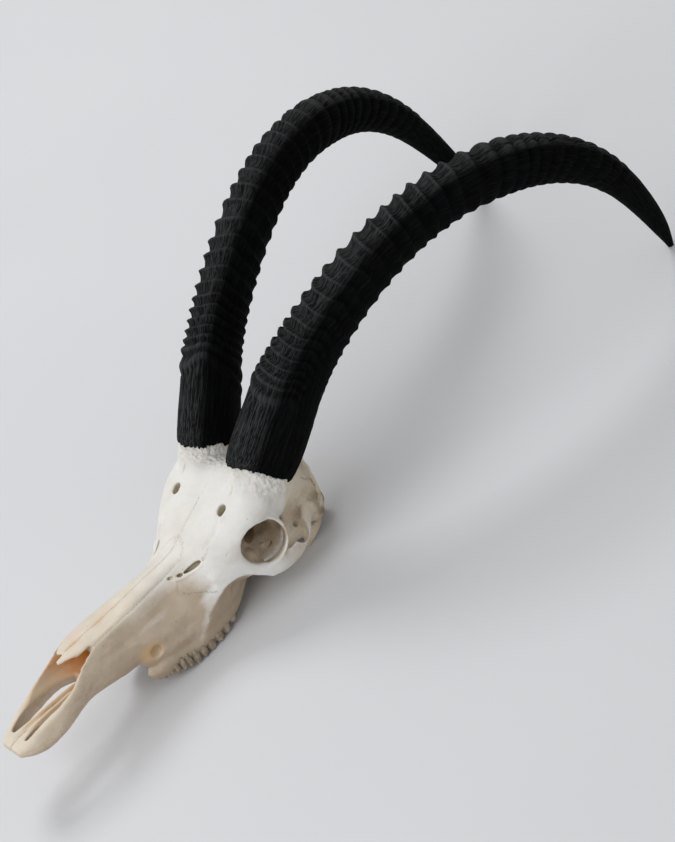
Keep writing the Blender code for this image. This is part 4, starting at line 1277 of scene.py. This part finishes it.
def ring_size(place):
    """Relief at the front of the horn: it grows over the first rings and fades at the last."""
    share = (place - RINGS_START) / (crests[-1] - RINGS_START)
    size = RING_RELIEF * np.minimum(1.0, 0.8 + share * 1.6) * np.minimum(1.0, 0.3 + (1 - share) * 2.0)
    return size * band(place, RINGS_START - 8, RINGS_START, crests[-1], crests[-1] + 10)


def ring_profile(place):
    """0 in a valley and 1 on a crest."""
    marks = np.concatenate([[crests[0] - 9], crests, [crests[-1] + 15, HORN_LENGTH + 60]])
    below = np.clip(np.searchsorted(marks, place, side="right") - 1, 0, len(marks) - 2)
    phase = np.clip((place - marks[below]) / (marks[below + 1] - marks[below]), 0, 1)
    sharp = np.interp(phase, *zip(*CUSP))
    soft = np.interp(phase, *zip(*ROUND))
    cusps = band(place, 94, 125, 350, 390)
    return sharp * cusps + soft * (1 - cusps)


def hump(value, middle, spread_out):
    """1 at its middle, falling off on both sides."""
    return np.exp(-((value - middle) / spread_out) ** 2)


def ring_shift(place, turn):
    """How far a ring lies towards the horn's foot at this angle around it, mm.

    Every ring sweeps down towards the back. The lower ones also slant: they stand highest on the
    inner side of the front, and again on the outer side. Angles are from the front, outer side
    positive, and both ends of the range have to agree, or the skin stays open along the back.
    """
    degrees = np.degrees(turn)
    swept = 10 * fade_in(np.abs(degrees), 45, 165)
    slant = 7 * (1 - hump(degrees, -46, 30)) - 6 * hump(degrees, 66, 18)
    return swept + slant * (1 - fade_in(place, 190, 290))


def ring_share(place, turn):
    """Share of the relief at this angle: all at the front, less at the back, and least in a
    smooth strip on the outer back of the lowest rings."""
    share = RING_BACK_SHARE + (1 - RING_BACK_SHARE) * (0.5 + 0.5 * np.cos(turn))
    strip = fade_in(np.cos(turn - SMOOTH_STRIP), 0.3, 1.0)
    return share * (1 - 0.8 * strip * (1 - fade_in(place, 100, 165)))


print("relief at 300 mm:", round(float(ring_size(np.array([300.0]))[0]), 2), "mm")

# %% Roll the grid into a horn
AROUND, ALONG = 168, 580
RIM_RAGGED = 4.2  # mm


def horn_skin(side, seed):
    """Places in mm of the grid's points on the horn, and where they lie on a straightened one."""
    share_around = np.arange(AROUND + 1) / AROUND
    share_along = np.arange(ALONG + 1) / ALONG
    turn, place = np.meshgrid(math.pi * (2 * share_around - 1), share_along * HORN_LENGTH)
    turn, place = turn.ravel(), place.ravel()
    centre, front, sideways, along, deep, wide = horn_course(place / HORN_LENGTH)
    level = place + ring_shift(place, turn)
    straight = np.stack([np.cos(turn) * deep, np.sin(turn) * wide, place], 1)
    fibre = np.empty(len(turn))
    lumps = np.empty(len(turn))
    wobble = np.empty(len(turn))
    for i, (x, y, z) in enumerate(straight):
        fibre[i] = fractal((x, y, z * 0.09), 2.6, seed)
        lumps[i] = fractal((x, y, z * 0.6), 9.0, seed + 5)
        wobble[i] = fractal((x, y, z), 30.0, seed + 9, 2)
    size = ring_size(level) * (1 + 0.22 * wobble)
    lift = size * (ring_profile(level + wobble * 2.0) - 0.5) * ring_share(place, turn)
    degrees = np.degrees(turn)
    plain = 1 - fade_in(place, HORN_LENGTH - 130, HORN_LENGTH - 60)
    side_rough = hump(np.abs(degrees), 80, 38) * band(place, 90, 140, 330, 400)
    lift += fibre * 0.22 * plain + lumps * (0.15 * plain + 0.2 * side_rough)
    crease = hump(degrees, np.interp(place, *zip(*CREASE)), 5.0)
    lift -= CREASE_DEPTH * crease * band(place, 345, 370, 470, 495)
    ahead, aside = horn_outline(turn, place / HORN_LENGTH, deep + lift, wide + lift)
    points = centre + ahead[:, None] * front + aside[:, None] * sideways
    points = slid_to_rim(points, np.clip(1 - place / RINGS_START, 0, 1))
    jag = np.array([fractal((x, y, 0), 2.2, seed + 2) for x, y, _ in straight])
    wave = np.interp(degrees, *zip(*RIM_WAVE)) * np.clip(1 - place / 34.0, 0, 1)
    points += (wave + jag * RIM_RAGGED * np.clip(1 - place / 10.0, 0, 1))[:, None] * along
    return points * (side, 1, 1), straight, level, lift


def rolled_horn(name, side, seed):
    """A closed horn: the rolled grid, a lip turned in at the foot, and a point at the tip."""
    points, straight, level, lift = horn_skin(side, seed)
    bm = bmesh.new()
    bmesh.ops.create_grid(bm, x_segments=AROUND, y_segments=ALONG, size=0.5, calc_uvs=True)
    grain_layer = bm.verts.layers.float_vector.new("straightened")
    crest_layer = bm.verts.layers.float.new("crest")
    front_layer = bm.verts.layers.float.new("front")
    for vert in bm.verts:
        column, row = round((vert.co.x + 0.5) * AROUND), round((vert.co.y + 0.5) * ALONG)
        number = row * (AROUND + 1) + column
        vert.co = points[number]
        vert[grain_layer] = Vector(straight[number]) * MM
        vert[crest_layer] = lift[number]
        vert[front_layer] = math.cos(math.radians(360 * column / AROUND - 180))
    bmesh.ops.remove_doubles(bm, verts=bm.verts, dist=0.001)
    middle = HORN_FOOT * (side, 1, 1)
    along = horn_course(np.array([0.0]))[3][0] * (side, 1, 1)
    loops = [edge for edge in bm.edges if edge.is_boundary]
    foot = [edge for edge in loops if np.linalg.norm(np.array(edge.verts[0].co) - middle) < 90]
    tip = [edge for edge in loops if edge not in set(foot)]
    for shrink, rise in ((0.96, -0.7), (0.90, 0.6), (0.88, 8.0)):
        made = bmesh.ops.extrude_edge_only(bm, edges=foot)["geom"]
        foot = [part for part in made if isinstance(part, bmesh.types.BMEdge)]
        for vert in {v for edge in foot for v in edge.verts}:
            vert.co = Vector(middle) + (vert.co - Vector(middle)) * shrink + Vector(along) * rise
    bmesh.ops.contextual_create(bm, geom=foot)
    made = bmesh.ops.extrude_edge_only(bm, edges=tip)["geom"]
    last = [part for part in made if isinstance(part, bmesh.types.BMVert)]
    summit = sum((v.co for v in last), Vector()) / len(last)
    bmesh.ops.pointmerge(bm, verts=last, merge_co=summit)
    bmesh.ops.recalc_face_normals(bm, faces=bm.faces)
    return linked_object(name, bm)


print("grid for each horn:", AROUND, "by", ALONG, "faces")

# %% [markdown]
# Horn is the same stuff as a hoof: fibres pressed together, nearly black here and dull. Along the front,
# the side the light falls on, it is painted grey in broken streaks as painted light, and the crests of the
# rings there are paler, partly from wear and partly as a painted highlight.
# The fibres run lengthwise, so their noise is read on a straightened copy of the horn's
# coordinates and stretched along it.

# %% Material of the horns
horn_paint, tree, shader = new_material("black_horn", Roughness=0.8, Specular_IOR_Level=0.04)
straightened = attribute(tree, "straightened").outputs["Vector"]


def horn_noise(lengthwise, scale, detail, roughness=0.5):
    """Noise on the straightened horn; `lengthwise` below 1 draws it out along the fibres."""
    settings = {"Vector": straightened, "Scale": (1, 1, lengthwise)}
    place = add_node(tree, "ShaderNodeMapping", settings).outputs[0]
    settings = {"Vector": place, "Scale": scale, "Detail": detail, "Roughness": roughness}
    return add_node(tree, "ShaderNodeTexNoise", settings).outputs[0]


fibres = horn_noise(0.05, 900.0, 4.0)
wrinkles = horn_noise(0.22, 800.0, 5.0, 0.65)
patches = spread(tree, horn_noise(1.0, 28.0, 4.0), 0.4, 0.62)
black = mix_colour(tree, patches, (0.0011, 0.0011, 0.0014, 1), (0.0013, 0.0018, 0.0019, 1))
# painted light: the front of each horn, the side the light falls on, is painted grey in broken streaks
front = spread(tree, attribute(tree, "front").outputs["Fac"], 0.62, 0.88, 0.05, 1.0)
lit_front_streaks = times(tree, front, spread(tree, sum_of(tree, wrinkles, fibres), 0.9, 1.14, 0.12, 1.0))
streaks = spread(tree, fibres, 0.5, 0.74, 0.0, 0.8)
streaked = mix_colour(tree, streaks, black, (0.0045, 0.0048, 0.0052, 1))
streaked = mix_colour(tree, times(tree, lit_front_streaks, 0.85), streaked, (0.048, 0.049, 0.051, 1))
# the crests of the rings on that front are paler: partly wear, partly a painted highlight
crest = spread(tree, attribute(tree, "crest").outputs["Fac"], 0.8, 3.0, 0.0, 0.55)
worn = mix_colour(tree, times(tree, crest, front), streaked, (0.075, 0.077, 0.08, 1))
tree.links.new(worn, shader.inputs["Base Color"])
tree.links.new(spread(tree, fibres, 0.3, 0.7, 0.92, 0.7), shader.inputs["Roughness"])
height = sum_of(tree, fibres, wrinkles)
bump = add_node(tree, "ShaderNodeBump", {"Height": height, "Distance": 0.0005, "Strength": 0.6})
tree.links.new(bump.outputs[0], shader.inputs["Normal"])
print("horn material:", len(tree.nodes), "nodes")

# %% The two horns
for word, side, seed in (("left", 1, 1.0), ("right", -1, 23.0)):
    horn = rolled_horn(word + "_ringed_horn", side, seed)
    settle(horn.data)
    horn.data.shade_smooth()
    horn.data.materials.append(horn_paint)
    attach(horn, "root")
    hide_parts(word + "_horn")
    print(horn.name, len(horn.data.polygons), "faces")

# %% [markdown]
# The cheek teeth stand in two rows of six. A grazer's tooth is a tall lobed column whose
# chewing end is cut by hard ridges of enamel. Its outline is seen from below: ribs on the outer
# side, two rounded lobes on the inner side.

# %% Cheek teeth
TEETH = (
    ("premolar_2", 13.0, 10.0), ("premolar_3", 14.0, 12.5), ("premolar_4", 14.0, 14.5),
    ("molar_1", 18.0, 16.5), ("molar_2", 21.0, 17.5), ("molar_3", 23.0, 16.5),
)
CHEEK_ROW = (  # outer edge of the row, on the chewing surface
    (28.5, 153, -12.5), (34, 164, -14.5), (39, 176, -15.3), (41.5, 190, -16.5),
    (42.5, 202, -15.8), (44, 222, -11.4), (44, 240, -5.2), (42, 255, 1.8),
)
CROWN_HEIGHT = 10.5
ROOT_DEPTH = 7.0
GAP = 0.4
RIGHT_SEED = 40  # keeps the right teeth from being exact mirror images
print("teeth on each side:", len(TEETH))

# %% Outline, place and chewing surface of a tooth
def tooth_outline(length, width):
    """(along, inwards) points: two lobes on each side, rounder on the inner one."""
    half = length / 2
    outer = [(-half, 1.6), (-half * 0.78, 0.4), (-half * 0.5, -0.2), (-half * 0.22, 0.4), (0, 1.2)]
    outer += [(half * 0.22, 0.4), (half * 0.5, -0.2), (half * 0.78, 0.4), (half, 1.6)]
    inner = [(half, width * 0.6), (half * 0.55, width), (0, width * 0.82)]
    inner += [(-half * 0.55, width), (-half, width * 0.6)]
    return outer + inner


def tooth_places():
    """Each left tooth's name, middle of its outer side, direction of the row, length and width."""
    row = smooth_course(CHEEK_ROW, 10)
    run = np.concatenate([[0], np.cumsum(np.linalg.norm(np.diff(row, axis=0), axis=1))])
    scale = run[-1] / sum(length for _, length, _ in TEETH)
    passed = 0.0
    for name, length, width in TEETH:
        marks = np.array((passed, passed + length)) * scale
        ends = np.stack([np.interp(marks, run, row[:, i]) for i in range(3)], 1)
        course = (ends[1] - ends[0]) / np.linalg.norm(ends[1] - ends[0])
        yield name, (ends[0] + ends[1]) / 2, course, length * scale - GAP, width
        passed += length


whole_row = np.array(CHEEK_ROW[-1], float) - np.array(CHEEK_ROW[0], float)
INWARDS = -np.cross(whole_row, (0.0, 0.0, 1.0))
INWARDS /= np.linalg.norm(INWARDS)
UPWARDS = np.cross(INWARDS, whole_row)
UPWARDS *= np.sign(UPWARDS[2]) / np.linalg.norm(UPWARDS)
print("inwards and upwards at the teeth:", INWARDS.round(2), UPWARDS.round(2))


def chewing_height(a, b, length, width):
    """Crescents of hard enamel stand above the worn dentine, and each lobe is cusped."""
    wave = math.cos(2 * math.pi * (2.4 * b / width + 0.32 * math.cos(4 * math.pi * a / length)))
    notch = math.cos(4 * math.pi * a / length) * max(0.15, 1 - 1.6 * max(b, 0) / width)
    return 2.1 - 0.6 * wave + 1.9 * notch


def tooth_mesh(name, middle, course, length, width, side, seed):
    """A tooth as rings from its root down to the chewing surface, then inwards over that surface."""
    outline = tooth_outline(length, width)
    around = smooth_course(np.array(outline + outline[:3]), 5)[5:-6]
    levels = [(CROWN_HEIGHT + ROOT_DEPTH, 0.90), (12.0, 0.95), (9.0, 0.99), (7.0, 1.0), (5.0, 1.0)]
    levels += [(None, share) for share in (0.99, 0.93, 0.84, 0.74, 0.62, 0.5, 0.37, 0.24, 0.1, 0.02)]
    rings, clefts = [], []
    for height, share in levels:
        ring = []
        for a, b in around:
            near, deep = a * share, width / 2 + (b - width / 2) * share
            rise = height or chewing_height(near, deep, length, width)
            rise += 1.7 * noise.noise(Vector((near, deep, seed)) * 0.36)
            where = middle + course * near + INWARDS * deep + UPWARDS * max(rise, 0.05)
            ring.append(where * (side, 1, 1))
            between_lobes = fade_in(math.cos(4 * math.pi * a / length), -0.1, 0.9)
            clefts.append(between_lobes * (1 if height else share))
        rings.append(ring)
    bm = bmesh.new()
    skin_rings(bm, rings)
    tooth = linked_object(name, bm)
    tree = tree_of(np.array(rings).reshape(-1, 3))
    store_mask(tooth.data, "cleft", [clefts[tree.find(vert.co)[1]] for vert in tooth.data.vertices])
    return tooth


# %% Enamel, and the twelve teeth
enamel_paint, tree, shader = new_material("tooth_enamel", Roughness=0.4)
stain = object_noise(tree, 0.006, 4.0)
upright = object_noise(tree, 0.0022, 3.0, 0.6, (1.0, 1.0, 0.15))
enamel = mix_colour(tree, spread(tree, stain, 0.36, 0.6), (0.47, 0.39, 0.295, 1), (0.29, 0.22, 0.15, 1))
enamel = mix_colour(tree, spread(tree, upright, 0.5, 0.72, 0.0, 0.5), enamel, (0.16, 0.13, 0.095, 1))
cleft = times(tree, attribute(tree, "cleft").outputs["Fac"], spread(tree, stain, 0.3, 0.6, 0.85, 0.35))
enamel = mix_colour(tree, cleft, enamel, (0.045, 0.034, 0.024, 1))
tree.links.new(enamel, shader.inputs["Base Color"])
tree.links.new(spread(tree, stain, 0.3, 0.7, 0.34, 0.56), shader.inputs["Roughness"])
bump = add_node(tree, "ShaderNodeBump", {"Height": upright, "Distance": 0.0006, "Strength": 0.6})
tree.links.new(bump.outputs[0], shader.inputs["Normal"])

for word, side in (("left", 1), ("right", -1)):
    for number, (name, middle, course, length, width) in enumerate(tooth_places()):
        seed = 2.7 * number + (0 if side > 0 else RIGHT_SEED)
        tooth = tooth_mesh(f"{word}_upper_{name}", middle, course, length, width, side, seed)
        settle(tooth.data)
        tooth.data.shade_smooth()
        tooth.data.materials.append(enamel_paint)
        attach(tooth, "root")
        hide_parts(f"{word}_{name}")
print("teeth:", 2 * len(TEETH))

# %% Last update of the scene
bpy.context.view_layer.update()
